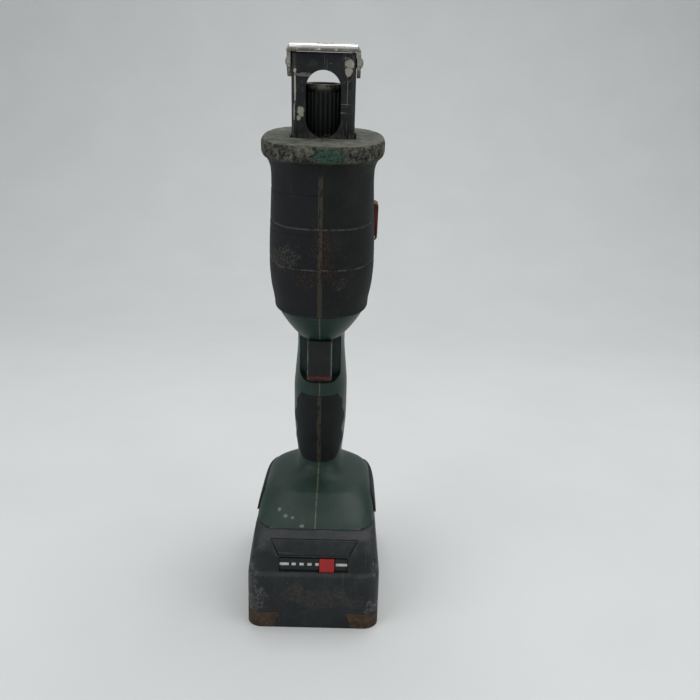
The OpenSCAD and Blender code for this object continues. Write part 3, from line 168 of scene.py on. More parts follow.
def body_points(rows, a, grow=0.0, side=1):
    """Superellipse section at each row: x = w |cos a|^(2/n), u = c + d sign(sin a) |sin a|^(2/n), tipped by
    its lean."""
    rows = np.asarray(rows)
    a = np.asarray(a, float)
    if a.ndim == 1:
        a = a[None, :]
    col = [rows[:, k][:, None] for k in range(6)]
    e = 2 / col[4]
    d = (col[2] + col[3]) / 2 + grow
    x = (col[1] + grow) * np.abs(np.cos(a)) ** e
    u = (col[2] - col[3]) / 2 + d * np.sign(np.sin(a)) * np.abs(np.sin(a)) ** e
    tilt = LEAN * col[5]
    y = axis_y(col[0]) - u * np.cos(tilt)
    z = col[0] * math.cos(LEAN) - u * np.sin(tilt)
    return np.stack(np.broadcast_arrays(side * x, y, z), axis=-1)


def on_axis(points):
    """Points in the tool's leaning frame, turned about x by the lean and set back to the axis."""
    p = np.asarray(points, float)
    c, s = math.cos(LEAN), math.sin(LEAN)
    return np.stack([p[..., 0], AXIS_BACK + p[..., 1] * c - p[..., 2] * s, p[..., 1] * s + p[..., 2] * c], axis=-1)


def even_angles(n, a0=90.0, a1=-90.0):
    """n + 1 angles of a superellipse, spread so that its flat sides get points too."""
    return np.radians(np.linspace(a0, a1, n + 1))


def ring_faces(rows, count, flip=False):
    """Quads round closed rings of count points, and the two end caps as ladders between the halves of a ring."""
    j, i = np.meshgrid(np.arange(rows - 1), np.arange(count), indexing="ij")
    a, b = j * count + i, j * count + (i + 1) % count
    sides = np.stack([a, b, b + count, a + count], axis=-1).reshape(-1, 4)
    k = np.arange(count // 2 - 1)
    low = np.stack([k, count - 1 - k, count - 2 - k, k + 1], axis=-1)
    high = (rows - 1) * count + low[:, ::-1]
    faces = np.vstack([sides, low, high])
    return faces[:, ::-1] if flip else faces


def new_piece(name, points, faces, material):
    """Object at the origin from points in millimetres and faces as index rows."""
    mesh = bpy.data.meshes.new(name)
    mesh.from_pydata((np.asarray(points).reshape(-1, 3) * MM).tolist(), [],
            np.asarray(faces).tolist() if not isinstance(faces, list) else faces)
    mesh.update()
    piece = bpy.data.objects.new(name, mesh)
    bpy.context.scene.collection.objects.link(piece)
    set_material(piece, material)
    return piece


def set_material(piece, material):
    """Give a piece one material."""
    piece.data.materials.clear()
    piece.data.materials.append(material)


def outward(piece):
    """Merges doubles and turns every face outwards."""
    bm = bmesh.new()
    bm.from_mesh(piece.data)
    bmesh.ops.remove_doubles(bm, verts=bm.verts, dist=1e-6)
    bmesh.ops.recalc_face_normals(bm, faces=bm.faces)
    bm.to_mesh(piece.data)
    bm.free()


def apply_modifiers(piece):
    """Replaces the mesh by what its modifiers make of it."""
    depsgraph = bpy.context.evaluated_depsgraph_get()
    made = bpy.data.meshes.new_from_object(piece.evaluated_get(depsgraph))
    materials = [m for m in piece.data.materials]
    old = piece.data
    piece.modifiers.clear()
    piece.data = made
    made.name = piece.name
    made.materials.clear()
    for m in materials:
        made.materials.append(m)
    bpy.data.meshes.remove(old)


def cut(piece, *cutters):
    """Takes each cutter's solid out of the piece and deletes the cutter."""
    for cutter in cutters:
        outward(cutter)
        m = piece.modifiers.new("cut", "BOOLEAN")
        m.operation = "DIFFERENCE"
        m.solver = "EXACT"
        m.object = cutter
    apply_modifiers(piece)
    for cutter in cutters:
        bpy.data.objects.remove(cutter, do_unlink=True)


def soften(piece, width, segments=2, angle=35):
    """Rounds the sharp edges and shades the rest smooth."""
    if width:
        m = piece.modifiers.new("edge", "BEVEL")
        m.width = width * MM
        m.segments = segments
        m.limit_method = "ANGLE"
        m.angle_limit = math.radians(angle)
        m.harden_normals = False
        apply_modifiers(piece)
    smooth(piece, angle)


def smooth(piece, angle=35):
    """Shade a piece smooth."""
    mesh = piece.data
    mesh.polygons.foreach_set("use_smooth", np.ones(len(mesh.polygons), bool))
    mesh.set_sharp_from_angle(angle=math.radians(angle))
    mesh.update()


def box_cutter(name, low, high, leaning=True):
    """Box between two corners, in the leaning frame or upright."""
    x, y, z = zip(low, high)
    corners = np.array([(i, j, k) for k in z for j in y for i in x], float)
    faces = [(0, 2, 3, 1), (4, 5, 7, 6), (0, 1, 5, 4), (2, 6, 7, 3), (0, 4, 6, 2), (1, 3, 7, 5)]
    return new_piece(name, on_axis(corners) if leaning else corners, faces, None)


def prism(name, outline, y0, y1, leaning=True):
    """Outline in x and z carried along y from y0 to y1."""
    o = np.asarray(outline, float)
    n = len(o)
    front = np.column_stack([o[:, 0], np.full(n, y0), o[:, 1]])
    back = np.column_stack([o[:, 0], np.full(n, y1), o[:, 1]])
    points = np.vstack([front, back])
    faces = [list(range(n)), list(range(2 * n - 1, n - 1, -1))]
    faces += [(i, i + n, (i + 1) % n + n, (i + 1) % n) for i in range(n)]
    piece = new_piece(name, on_axis(points) if leaning else points, faces, None)
    return piece


def arc(cx, cz, r, a0, a1, n=10):
    """Points of an arc."""
    a = np.radians(np.linspace(a0, a1, n + 1))
    return list(zip(cx + r * np.cos(a), cz + r * np.sin(a)))


def carried(node, name, material, width=0.25, angle=35, segments=2):
    """Copy of a CAD node with its loose triangles merged, its edges rounded and its curves smooth."""
    source = frame["nodes"][node]
    piece = bpy.data.objects.new(name, source.data.copy())
    piece.data.name = name
    bpy.context.scene.collection.objects.link(piece)
    bm = bmesh.new()
    bm.from_mesh(piece.data)
    bmesh.ops.remove_doubles(bm, verts=bm.verts, dist=2e-6)
    bmesh.ops.dissolve_limit(bm, angle_limit=math.radians(0.5), verts=bm.verts, edges=bm.edges)
    bm.to_mesh(piece.data)
    bm.free()
    set_material(piece, material)
    soften(piece, width, segments, angle)
    body = next(b for b, names in frame["record"]["behaviour"]["bodies"].items() if node in names)
    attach(piece, body)
    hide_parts(node)
    return piece


def settle(piece, body, slot, *nodes):
    """Say which body carries a piece and which nodes it replaces; its slot argument is not used."""
    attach(piece, body)
    if nodes:
        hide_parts(*nodes)


# ---------------------------------------------------------------- materials
def socket(group, name, kind, way, value=None):
    """Add a socket to a group."""
    s = group.interface.new_socket(name=name, in_out=way, socket_type="NodeSocket" + kind)
    if value is not None:
        s.default_value = value
    return s


def link(tree, a, b):
    """Join an output to an input."""
    tree.links.new(a, b)


def node(tree, kind, **values):
    """Add a node with its settings."""
    n = tree.nodes.new(kind)
    for key, value in values.items():
        if key in n.inputs:
            n.inputs[key].default_value = value
        else:
            setattr(n, key, value)
    return n


def maths(tree, operation, a, b=None, clamp=False):
    """One maths node on numbers or sockets."""
    n = tree.nodes.new("ShaderNodeMath")
    n.operation = operation
    n.use_clamp = clamp
    for socket_in, value in zip(n.inputs, (a, b)):
        if value is None:
            continue
        if isinstance(value, (int, float)):
            socket_in.default_value = value
        else:
            link(tree, value, socket_in)
    return n.outputs[0]


def ramp(tree, value, low, high):
    """0 below low and 1 above high, with a smooth step between."""
    n = tree.nodes.new("ShaderNodeMapRange")
    n.interpolation_type = "SMOOTHSTEP"
    n.inputs["From Min"].default_value = low
    n.inputs["From Max"].default_value = high
    link(tree, value, n.inputs["Value"])
    return n.outputs["Result"]


def noise(tree, coords, scale, detail=4.0, rough=0.55, stretch=None, offset=None):
    """Noise of features about 1/scale metres; stretch scales its axes."""
    if stretch or offset:
        m = tree.nodes.new("ShaderNodeMapping")
        m.inputs["Scale"].default_value = stretch or (1, 1, 1)
        m.inputs["Location"].default_value = offset or (0, 0, 0)
        link(tree, coords, m.inputs["Vector"])
        coords = m.outputs[0]
    n = tree.nodes.new("ShaderNodeTexNoise")
    n.inputs["Scale"].default_value = scale
    n.inputs["Detail"].default_value = detail
    n.inputs["Roughness"].default_value = rough
    link(tree, coords, n.inputs["Vector"])
    return n.outputs["Fac"]


def mix(tree, factor, a, b):
    """Blend two colours by a mask."""
    n = tree.nodes.new("ShaderNodeMix")
    n.data_type = "RGBA"
    for key, value in ((0, factor), (6, a), (7, b)):
        if isinstance(value, (int, float)):
            n.inputs[key].default_value = value
        elif isinstance(value, tuple):
            n.inputs[key].default_value = (*value, 1) if len(value) == 3 else value
        else:
            link(tree, value, n.inputs[key])
    return n.outputs[2]


def group(name, inputs, outputs):
    """Empty shader group with its sockets, and its input and output nodes."""
    g = bpy.data.node_groups.new(name, "ShaderNodeTree")
    for key, kind, value in inputs:
        socket(g, key, kind, "INPUT", value)
    for key, kind in outputs:
        socket(g, key, kind, "OUTPUT")
    return g, g.nodes.new("NodeGroupInput").outputs, g.nodes.new("NodeGroupOutput").inputs


def moulded_grain():
    """Fine moulded texture: a height for bump, and a patchy value that varies the gloss."""
    g, i, o = group("Moulded grain", [("Vector", "Vector", None), ("Scale", "Float", 2500.0),
            ("Patch scale", "Float", 60.0)],
                    [("Height", "Float"), ("Patches", "Float")])
    fine = g.nodes.new("ShaderNodeTexVoronoi")
    link(g, i["Vector"], fine.inputs["Vector"])
    link(g, i["Scale"], fine.inputs["Scale"])
    soft = g.nodes.new("ShaderNodeTexNoise")
    soft.inputs["Detail"].default_value = 5
    link(g, i["Vector"], soft.inputs["Vector"])
    link(g, i["Scale"], soft.inputs["Scale"])
    link(g, maths(g, "ADD", fine.outputs["Distance"], soft.outputs["Fac"]), o["Height"])
    patch = g.nodes.new("ShaderNodeTexNoise")
    patch.inputs["Detail"].default_value = 6
    link(g, i["Vector"], patch.inputs["Vector"])
    link(g, i["Patch scale"], patch.inputs["Scale"])
    link(g, patch.outputs["Fac"], o["Patches"])
    return g


def settled_dust():
    """Mask of dust and grime: more where the surface looks up, in blotches and fine specks."""
    g, i, o = group("Settled dust", [("Vector", "Vector", None), ("Normal", "Vector", None), ("Amount", "Float", 0.5),
                                     ("Up", "Float", 0.5), ("Scale", "Float", 90.0)], [("Mask", "Float")])
    blotch = g.nodes.new("ShaderNodeTexNoise")
    blotch.inputs["Detail"].default_value = 8
    blotch.inputs["Roughness"].default_value = 0.65
    link(g, i["Vector"], blotch.inputs["Vector"])
    link(g, i["Scale"], blotch.inputs["Scale"])
    speck = g.nodes.new("ShaderNodeTexNoise")
    speck.inputs["Detail"].default_value = 3
    link(g, i["Vector"], speck.inputs["Vector"])
    link(g, maths(g, "MULTIPLY", i["Scale"], 14.0), speck.inputs["Scale"])
    split = g.nodes.new("ShaderNodeSeparateXYZ")
    link(g, i["Normal"], split.inputs[0])
    up = maths(g, "MULTIPLY", ramp(g, split.outputs["Z"], -0.1, 1.0), i["Up"])
    both = maths(g, "ADD", ramp(g, blotch.outputs["Fac"], 0.42, 0.75),
            maths(g, "MULTIPLY", ramp(g, speck.outputs["Fac"], 0.58, 0.72), 0.5))
    base = maths(g, "MULTIPLY", both, i["Amount"])
    lifted = maths(g, "MULTIPLY", up, maths(g, "ADD", both, 0.35))
    link(g, maths(g, "ADD", base, lifted, clamp=True), o["Mask"])
    return g


def fine_scratches():
    """Mask of thin, straight scratches in two directions."""
    g, i, o = group("Fine scratches", [("Vector", "Vector", None), ("Amount", "Float", 0.5),
            ("Scale", "Float", 40.0)], [("Mask", "Float")])
    masks = []
    for turn, stretch in (((0.3, 0.5, 0.4), (1, 30, 1)), ((1.2, 0.1, -0.7), (26, 1, 1))):
        m = g.nodes.new("ShaderNodeMapping")
        m.inputs["Rotation"].default_value = turn
        m.inputs["Scale"].default_value = stretch
        link(g, i["Vector"], m.inputs["Vector"])
        n = g.nodes.new("ShaderNodeTexNoise")
        n.inputs["Detail"].default_value = 3
        link(g, m.outputs[0], n.inputs["Vector"])
        link(g, i["Scale"], n.inputs["Scale"])
        masks.append(ramp(g, n.outputs["Fac"], 0.66, 0.70))
    link(g, maths(g, "MULTIPLY", maths(g, "MAXIMUM", *masks), i["Amount"]), o["Mask"])
    return g


def saw_places():
    """Place along the leaning axis, place across and place towards the trigger side, in millimetres."""
    g, i, o = group("Saw places", [("Vector", "Vector", None)],
            [("Along", "Float"), ("Across", "Float"), ("Forward", "Float")])
    c, s = math.cos(LEAN), math.sin(LEAN)
    for key, axis, offset in (("Along", (0, -s, c), AXIS_BACK * s), ("Across", (1, 0, 0), 0.0),
            ("Forward", (0, -c, -s), AXIS_BACK * c)):
        d = node(g, "ShaderNodeVectorMath", operation="DOT_PRODUCT")
        link(g, i["Vector"], d.inputs[0])
        d.inputs[1].default_value = tuple(MM_PER_M * k for k in axis)
        link(g, maths(g, "ADD", d.outputs["Value"], offset), o[key])
    return g


def blotch():
    """Mask of a ragged patch: 1 inside an ellipsoid about a centre in millimetres, its edge broken by noise."""
    g, i, o = group("Ragged patch", [("Vector", "Vector", None), ("Centre", "Vector", (0, 0, 0)),
            ("Radius", "Vector", (5, 5, 5)),
                                     ("Ragged", "Float", 0.5), ("Scale", "Float", 400.0)], [("Mask", "Float")])
    mm = node(g, "ShaderNodeVectorMath", operation="SCALE")
    mm.inputs["Scale"].default_value = MM_PER_M
    link(g, i["Vector"], mm.inputs[0])
    away = node(g, "ShaderNodeVectorMath", operation="SUBTRACT")
    link(g, mm.outputs[0], away.inputs[0])
    link(g, i["Centre"], away.inputs[1])
    share = node(g, "ShaderNodeVectorMath", operation="DIVIDE")
    link(g, away.outputs[0], share.inputs[0])
    link(g, i["Radius"], share.inputs[1])
    size = node(g, "ShaderNodeVectorMath", operation="LENGTH")
    link(g, share.outputs[0], size.inputs[0])
    n = g.nodes.new("ShaderNodeTexNoise")
    n.inputs["Detail"].default_value = 6
    n.inputs["Roughness"].default_value = 0.65
    link(g, i["Vector"], n.inputs["Vector"])
    link(g, i["Scale"], n.inputs["Scale"])
    shift = maths(g, "MULTIPLY", maths(g, "SUBTRACT", n.outputs["Fac"], 0.5), maths(g, "MULTIPLY", i["Ragged"], 4.0))
    link(g, maths(g, "SUBTRACT", 1.0, ramp(g, maths(g, "ADD", size.outputs["Value"], shift), 0.75, 1.1)), o["Mask"])
    return g


GROUPS = {}
GROUP_MAKERS = {"Moulded grain": moulded_grain, "Settled dust": settled_dust, "Fine scratches": fine_scratches,
                "Saw places": saw_places, "Ragged patch": blotch}


def use(tree, name, **values):
    """Node of a shared group; a value may be a number or another node's output."""
    if name not in GROUPS:
        GROUPS[name] = GROUP_MAKERS[name]()
    n = tree.nodes.new("ShaderNodeGroup")
    n.node_tree = GROUPS[name]
    for key, value in values.items():
        key = key.replace("_", " ")
        if isinstance(value, (int, float, tuple)):
            n.inputs[key].default_value = value
        else:
            link(tree, value, n.inputs[key])
    return n.outputs


def band(tree, value, low, high, edge=0.3):
    """1 between low and high, with soft edges."""
    return maths(tree, "MULTIPLY", ramp(tree, value, low - edge, low + edge),
            maths(tree, "SUBTRACT", 1.0, ramp(tree, value, high - edge, high + edge)))


def lines(tree, value, places, half):
    """1 on thin lines at the given places, falling to 0 at half their width."""
    total = None
    for place in places:
        away = maths(tree, "ABSOLUTE", maths(tree, "SUBTRACT", value, place))
        one = maths(tree, "SUBTRACT", 1.0, ramp(tree, away, 0.0, half))
        total = one if total is None else maths(tree, "MAXIMUM", total, one)
    return total


def patches(tree, coords, rows, ragged=0.5, scale=400.0):
    """The greatest of several ragged patches, each given as a centre and radii in millimetres."""
    total = None
    for centre, radius in rows:
        one = use(tree, "Ragged patch", Vector=coords, Centre=centre, Radius=radius, Ragged=ragged,
                Scale=scale)["Mask"]
        total = one if total is None else maths(tree, "MAXIMUM", total, one)
    return total


def inverse(tree, value):
    """1 minus a mask."""
    return maths(tree, "SUBTRACT", 1.0, value)


def times(tree, *values):
    """Product of masks and numbers."""
    out = values[0]
    for v in values[1:]:
        out = maths(tree, "MULTIPLY", out, v)
    return out


def start_material(name, **shader_values):
    """Material with a Principled shader; returns it, its tree, the shader's inputs and the object coordinates."""
    m = bpy.data.materials.new(name)
    m.use_nodes = True
    tree = m.node_tree
    shader = tree.nodes["Principled BSDF"]
    for key, value in shader_values.items():
        shader.inputs[key.replace("_", " ")].default_value = value
    coords = tree.nodes.new("ShaderNodeTexCoord")
    return m, tree, shader.inputs, coords.outputs


def bump(tree, inputs, height, strength, distance):
    """Turn a height into the normal that the shader gets."""
    n = tree.nodes.new("ShaderNodeBump")
    n.inputs["Strength"].default_value = strength
    n.inputs["Distance"].default_value = distance
    link(tree, height, n.inputs["Height"])
    link(tree, n.outputs[0], inputs["Normal"])


def moulded(name, colour, shade, dust_colour, dust=0.3, up=0.3, rough=(0.45, 0.75), grain=2200.0, bump_mm=0.05,
        scratch=0.3, dust_scale=90.0, specular=0.4):
    """Moulded plastic or rubber: two close tones in patches, grain, scratches and settled dust."""
    m, t, i, c = start_material(name, Specular_IOR_Level=specular)
    v = c["Object"]
    g = use(t, "Moulded grain", Vector=v, Scale=grain, Patch_scale=70.0)
    d = use(t, "Settled dust", Vector=v, Normal=c["Normal"], Amount=dust, Up=up, Scale=dust_scale)["Mask"]
    s = use(t, "Fine scratches", Vector=v, Amount=scratch, Scale=35.0)["Mask"]
    tone = mix(t, ramp(t, g["Patches"], 0.35, 0.65), colour, shade)
    tone = mix(t, s, tone, tuple(min(1, 2.2 * k + 0.03) for k in colour))
    link(t, mix(t, d, tone, dust_colour), i["Base Color"])
    r = maths(t, "ADD", times(t, g["Patches"], rough[1] - rough[0]), rough[0])
    link(t, maths(t, "ADD", r, times(t, d, 0.35), clamp=True), i["Roughness"])
    bump(t, i, g["Height"], 0.6, bump_mm * MM)
    return m


def metal(name, colour, rough=(0.25, 0.45), scale=300.0, stretch=(1, 1, 1), scratch=0.4, dirt=0.2,
        dirt_colour=(0.12, 0.1, 0.08)):
    """Worn bare metal: brushed gloss, scratches and dirt."""
    m, t, i, c = start_material(name, Metallic=1.0)
    v = c["Object"]
    n = noise(t, v, scale, 5, 0.6, stretch)
    s = use(t, "Fine scratches", Vector=v, Amount=scratch, Scale=60.0)["Mask"]
    d = use(t, "Settled dust", Vector=v, Normal=c["Normal"], Amount=dirt, Up=dirt, Scale=150.0)["Mask"]
    tone = mix(t, s, colour, tuple(0.6 * k for k in colour))
    link(t, mix(t, d, tone, dirt_colour), i["Base Color"])
    link(t, inverse(t, times(t, d, 0.8)), i["Metallic"])
    r = maths(t, "ADD", times(t, n, rough[1] - rough[0]), rough[0])
    link(t, maths(t, "ADD", r, times(t, d, 0.4), clamp=True), i["Roughness"])
    bump(t, i, n, 0.25, 0.02 * MM)
    return m


def sleeve_rubber():
    """Head rubber: near-black, dust in its grooves and seam, a top made paler by dust and by painted light from
    above, chewed rim, rust-coloured stains, and a painted sheen on the half at negative x.
    """
    m, t, i, c = start_material("Sleeve rubber", Specular_IOR_Level=0.18)
    v = c["Object"]
    at = use(t, "Saw places", Vector=v)
    g = use(t, "Moulded grain", Vector=v, Scale=1900.0, Patch_scale=60.0)
    s = use(t, "Fine scratches", Vector=v, Amount=0.35, Scale=35.0)["Mask"]
    breaks = noise(t, v, 260.0, 5, 0.7)
    fine = noise(t, v, 900.0, 5, 0.7)
    across = maths(t, "ABSOLUTE", at["Across"])
    tone = mix(t, ramp(t, g["Patches"], 0.35, 0.65), (0.0055, 0.0062, 0.0060), (0.0095, 0.0102, 0.0100))
    # painted sheen: the half at negative x is tinted lighter and bluer, as if lit from that side
    tone = mix(t, times(t, inverse(t, ramp(t, at["Across"], -2.0, 1.0)), 0.55), tone, (0.0085, 0.0105, 0.0125))
    tone = mix(t, times(t, s, 0.6), tone, (0.035, 0.034, 0.030))
    # faint grey-brown film over the head, in noise blotches
    film = times(t, ramp(t, noise(t, v, 75.0, 8, 0.65), 0.48, 0.72), 0.12)
    tone = mix(t, film, tone, (0.045, 0.043, 0.035))
    marks = patches(t, v, (((-18.5, -41.0, 221.0), (9, 9, 6)), ((-24, -38.0, 219.0), (6, 8, 7)),
            ((12, -45, 205.0), (6, 6, 5))), 0.6, 300.0)
    tone = mix(t, times(t, marks, ramp(t, fine, 0.45, 0.62), 0.55), tone, (0.085, 0.078, 0.058))
    rust = patches(t, v, (((1.5, -46.0, 226.0), (6.5, 9, 11)), ((4.5, -44.0, 214.0), (5, 9, 6)),
            ((-6.5, -42.5, 207.5), (9, 9, 5))), 0.75, 420.0)
    tone = mix(t, times(t, rust, ramp(t, fine, 0.44, 0.66), 0.5), tone, (0.075, 0.030, 0.011))
    # dust packed into the grooves and beside the seam
    groove = lines(t, at["Along"], (HEAD_S + 0.6 * HEAD_LEN, HEAD_S + 0.34 * HEAD_LEN), 0.75)
    low = inverse(t, ramp(t, at["Along"], GUARD_S - 10, GUARD_S - 4))
    tone = mix(t, times(t, groove, ramp(t, breaks, 0.40, 0.58), 0.6), tone, (0.12, 0.115, 0.095))
    lip = band(t, at["Along"], HEAD_S - 0.8, HEAD_S + 0.8, 0.4)
    tone = mix(t, times(t, lip, ramp(t, breaks, 0.35, 0.6), 0.65), tone, (0.10, 0.095, 0.075))
    seam = times(t, lines(t, across, (0.28, 0.95), 0.42),
            ramp(t, noise(t, v, 420.0, 4, 0.7, (1, 0.4, 0.4)), 0.36, 0.55), low)
    tone = mix(t, times(t, seam, 0.5), tone, (0.105, 0.085, 0.055))
    specks = times(t, ramp(t, noise(t, v, 1500.0, 2), 0.70, 0.74), 0.6)
    tone = mix(t, specks, tone, (0.12, 0.12, 0.105))
    # the guard: chalky pitted rim; its top is paler, partly settled dust and partly painted light from above
    rim = ramp(t, at["Along"], GUARD_S - 0.6, GUARD_S + 1.6)
    chalk = times(t, rim, ramp(t, noise(t, v, 480.0, 7, 0.75), 0.40, 0.60))
    tone = mix(t, times(t, chalk, 0.85), tone, (0.088, 0.088, 0.066))
    tone = mix(t, times(t, rim, ramp(t, noise(t, v, 160.0, 6, 0.7, None, (0.3, 0, 0)), 0.52, 0.64), 0.6), tone,
            (0.17, 0.165, 0.125))
    tone = mix(t, times(t, rim, ramp(t, noise(t, v, 620.0, 4, 0.7, None, (0, 0.7, 0)), 0.57, 0.63), 0.9), tone,
            (0.006, 0.006, 0.005))
    split = t.nodes.new("ShaderNodeSeparateXYZ")
    link(t, c["Normal"], split.inputs[0])
    # upward faces of the rim take a paler colour: settled dust together with painted light from above
    face = times(t, ramp(t, split.outputs["Z"], 0.70, 0.93), rim)
    top = mix(t, ramp(t, noise(t, v, 130.0, 7, 0.65), 0.38, 0.64), (0.060, 0.064, 0.056), (0.13, 0.132, 0.105))
    tone = mix(t, times(t, face, ramp(t, noise(t, v, 300.0, 5, 0.7, None, (0, 0, 0.4)), 0.26, 0.42)), tone, top)
    flecks = times(t, patches(t, v, (((4.0, -60.0, 273.5), (8, 5, 4)),), 0.7, 500.0), ramp(t, fine, 0.46, 0.52))
    tone = mix(t, flecks, tone, (0.018, 0.075, 0.050))
    link(t, tone, i["Base Color"])
    rough = maths(t, "ADD", times(t, g["Patches"], 0.25), 0.52)
    rough = maths(t, "ADD", rough, times(t, rim, 0.25), clamp=True)
    link(t, rough, i["Roughness"])
    pits = maths(t, "ADD", times(t, rim, noise(t, v, 700.0, 6, 0.7), 7.0),
            maths(t, "ADD", g["Height"], times(t, noise(t, v, 130.0, 5, 0.6), 2.5)))
    bump(t, i, pits, 0.7, 0.07 * MM)
    return m


def shell_green():
    """Moulded housing: deep green, satin in random patches, dust in the seam and specks on the foot."""
    m, t, i, c = start_material("Housing green", Specular_IOR_Level=0.30)
    v = c["Object"]
    at = use(t, "Saw places", Vector=v)
    g = use(t, "Moulded grain", Vector=v, Scale=2600.0, Patch_scale=45.0)
    tone = mix(t, ramp(t, g["Patches"], 0.35, 0.65), (0.0042, 0.0190, 0.0130), (0.0068, 0.0250, 0.0180))
    s = use(t, "Fine scratches", Vector=v, Amount=0.25, Scale=30.0)["Mask"]
    tone = mix(t, s, tone, (0.030, 0.055, 0.045))
    d = use(t, "Settled dust", Vector=v, Normal=c["Normal"], Amount=0.05, Up=0.16, Scale=80.0)["Mask"]
    tone = mix(t, d, tone, (0.060, 0.070, 0.055))
    across = maths(t, "ABSOLUTE", at["Across"])
    breaks = noise(t, v, 300.0, 4, 0.7)
    tone = mix(t, times(t, lines(t, across, (0.15,), 0.42), ramp(t, breaks, 0.34, 0.52), 0.85), tone,
            (0.12, 0.105, 0.07))
    foot = inverse(t, ramp(t, at["Along"], BASE_S + 0.5, BASE_S + 3.0))
    tone = mix(t, times(t, foot, ramp(t, breaks, 0.42, 0.62), 0.5), tone, (0.10, 0.10, 0.08))
    dabs = patches(t, v, (((-22.5, -35.3, 64.0), (1.0, 1.5, 1.6)), ((-18.4, -39.8, 62.0), (1.3, 1.5, 1.2)),
            ((-8.0, -45.7, 58.5), (1.6, 1.5, 0.9)),
                          ((-14.0, -41.0, 61.5), (0.9, 1.2, 0.9))), 0.25, 900.0)
    tone = mix(t, times(t, dabs, 0.6), tone, (0.18, 0.19, 0.16))
    specks = times(t, ramp(t, noise(t, v, 1300.0, 2), 0.71, 0.75), 0.5)
    tone = mix(t, specks, tone, (0.12, 0.13, 0.10))
    link(t, tone, i["Base Color"])
    link(t, maths(t, "ADD", times(t, g["Patches"], 0.26), maths(t, "ADD", 0.30, times(t, d, 0.4))), i["Roughness"])
    bump(t, i, g["Height"], 0.5, 0.02 * MM)
    return m


def pack_plastic():
    """Pack: blue-black satin, pale scuffs at the corners, brown smudges low on the front."""
    m, t, i, c = start_material("Pack plastic", Specular_IOR_Level=0.30)
    v = c["Object"]
    g = use(t, "Moulded grain", Vector=v, Scale=2400.0, Patch_scale=55.0)
    tone = mix(t, ramp(t, g["Patches"], 0.35, 0.65), (0.0065, 0.0090, 0.0105), (0.0100, 0.0130, 0.0145))
    s = use(t, "Fine scratches", Vector=v, Amount=0.4, Scale=40.0)["Mask"]
    tone = mix(t, s, tone, (0.06, 0.062, 0.058))
    fine = noise(t, v, 700.0, 5, 0.7)
    d = use(t, "Settled dust", Vector=v, Normal=c["Normal"], Amount=0.06, Up=0.22, Scale=110.0)["Mask"]
    tone = mix(t, d, tone, (0.080, 0.084, 0.078))
    smudge = patches(t, v, (((-11.0, -62, 23.0), (7, 6, 6)), ((3.0, -62, 20.0), (12, 6, 7)),
            ((15.0, -62, 24.0), (5, 6, 5)), ((22.0, -62, 17.0), (10, 6, 4))), 0.8, 160.0)
    tone = mix(t, times(t, smudge, ramp(t, fine, 0.36, 0.64), 0.55), tone, (0.045, 0.038, 0.026))
    scuff = patches(t, v, (((-34.0, -58, 16.0), (6, 8, 7)), ((-30.0, -60, 22.0), (4, 6, 5)),
            ((34.0, -57, 15.0), (5, 8, 6)), ((-36.0, -55, 30.0), (4, 7, 8)),
                           ((36, -52, 34.0), (3, 8, 8))), 0.8, 240.0)
    tone = mix(t, times(t, scuff, ramp(t, fine, 0.44, 0.60), 0.6), tone, (0.12, 0.12, 0.105))
    specks = times(t, ramp(t, noise(t, v, 1100.0, 2), 0.70, 0.74), 0.7)
    tone = mix(t, specks, tone, (0.20, 0.20, 0.185))
    link(t, tone, i["Base Color"])
    rough = maths(t, "ADD", times(t, g["Patches"], 0.26), 0.34)
    link(t, maths(t, "ADD", rough, times(t, d, 0.3), clamp=True), i["Roughness"])
    bump(t, i, maths(t, "ADD", g["Height"], times(t, noise(t, v, 160.0, 5, 0.6), 2.0)), 0.6, 0.04 * MM)
    return m


WINDOWS = ((-20.2, -14.7), (-13.0, -10.5), (-8.3, -5.8), (-3.6, -1.1), (1.1, 3.4), (13.3, 20.0))


def display_film():
    """Charge display: glossy black film with a row of pale bars and small windows beside the button."""
    m, t, i, c = start_material("Display film", Specular_IOR_Level=0.35)
    v = c["Object"]
    split = t.nodes.new("ShaderNodeSeparateXYZ")
    link(t, v, split.inputs[0])
    x, z = (times(t, split.outputs[k], MM_PER_M) for k in ("X", "Z"))
    row = band(t, z, BAND_Z + 3.9, BAND_Z + 5.6, 0.12)
    bars = None
    for low, high in WINDOWS:
        one = band(t, x, low, high, 0.15)
        bars = one if bars is None else maths(t, "MAXIMUM", bars, one)
    grime = ramp(t, noise(t, v, 420.0, 5, 0.7), 0.30, 0.60)
    pale = mix(t, grime, (0.62, 0.62, 0.56), (0.40, 0.40, 0.35))
    tone = mix(t, ramp(t, noise(t, v, 500.0, 6, 0.7), 0.55, 0.70), (0.0045, 0.0070, 0.0085), (0.020, 0.024, 0.026))
    link(t, mix(t, times(t, row, bars), tone, pale), i["Base Color"])
    link(t, maths(t, "ADD", times(t, noise(t, v, 300.0, 5), 0.25), 0.22), i["Roughness"])
    bump(t, i, noise(t, v, 900.0, 3), 0.2, 0.01 * MM)
    return m


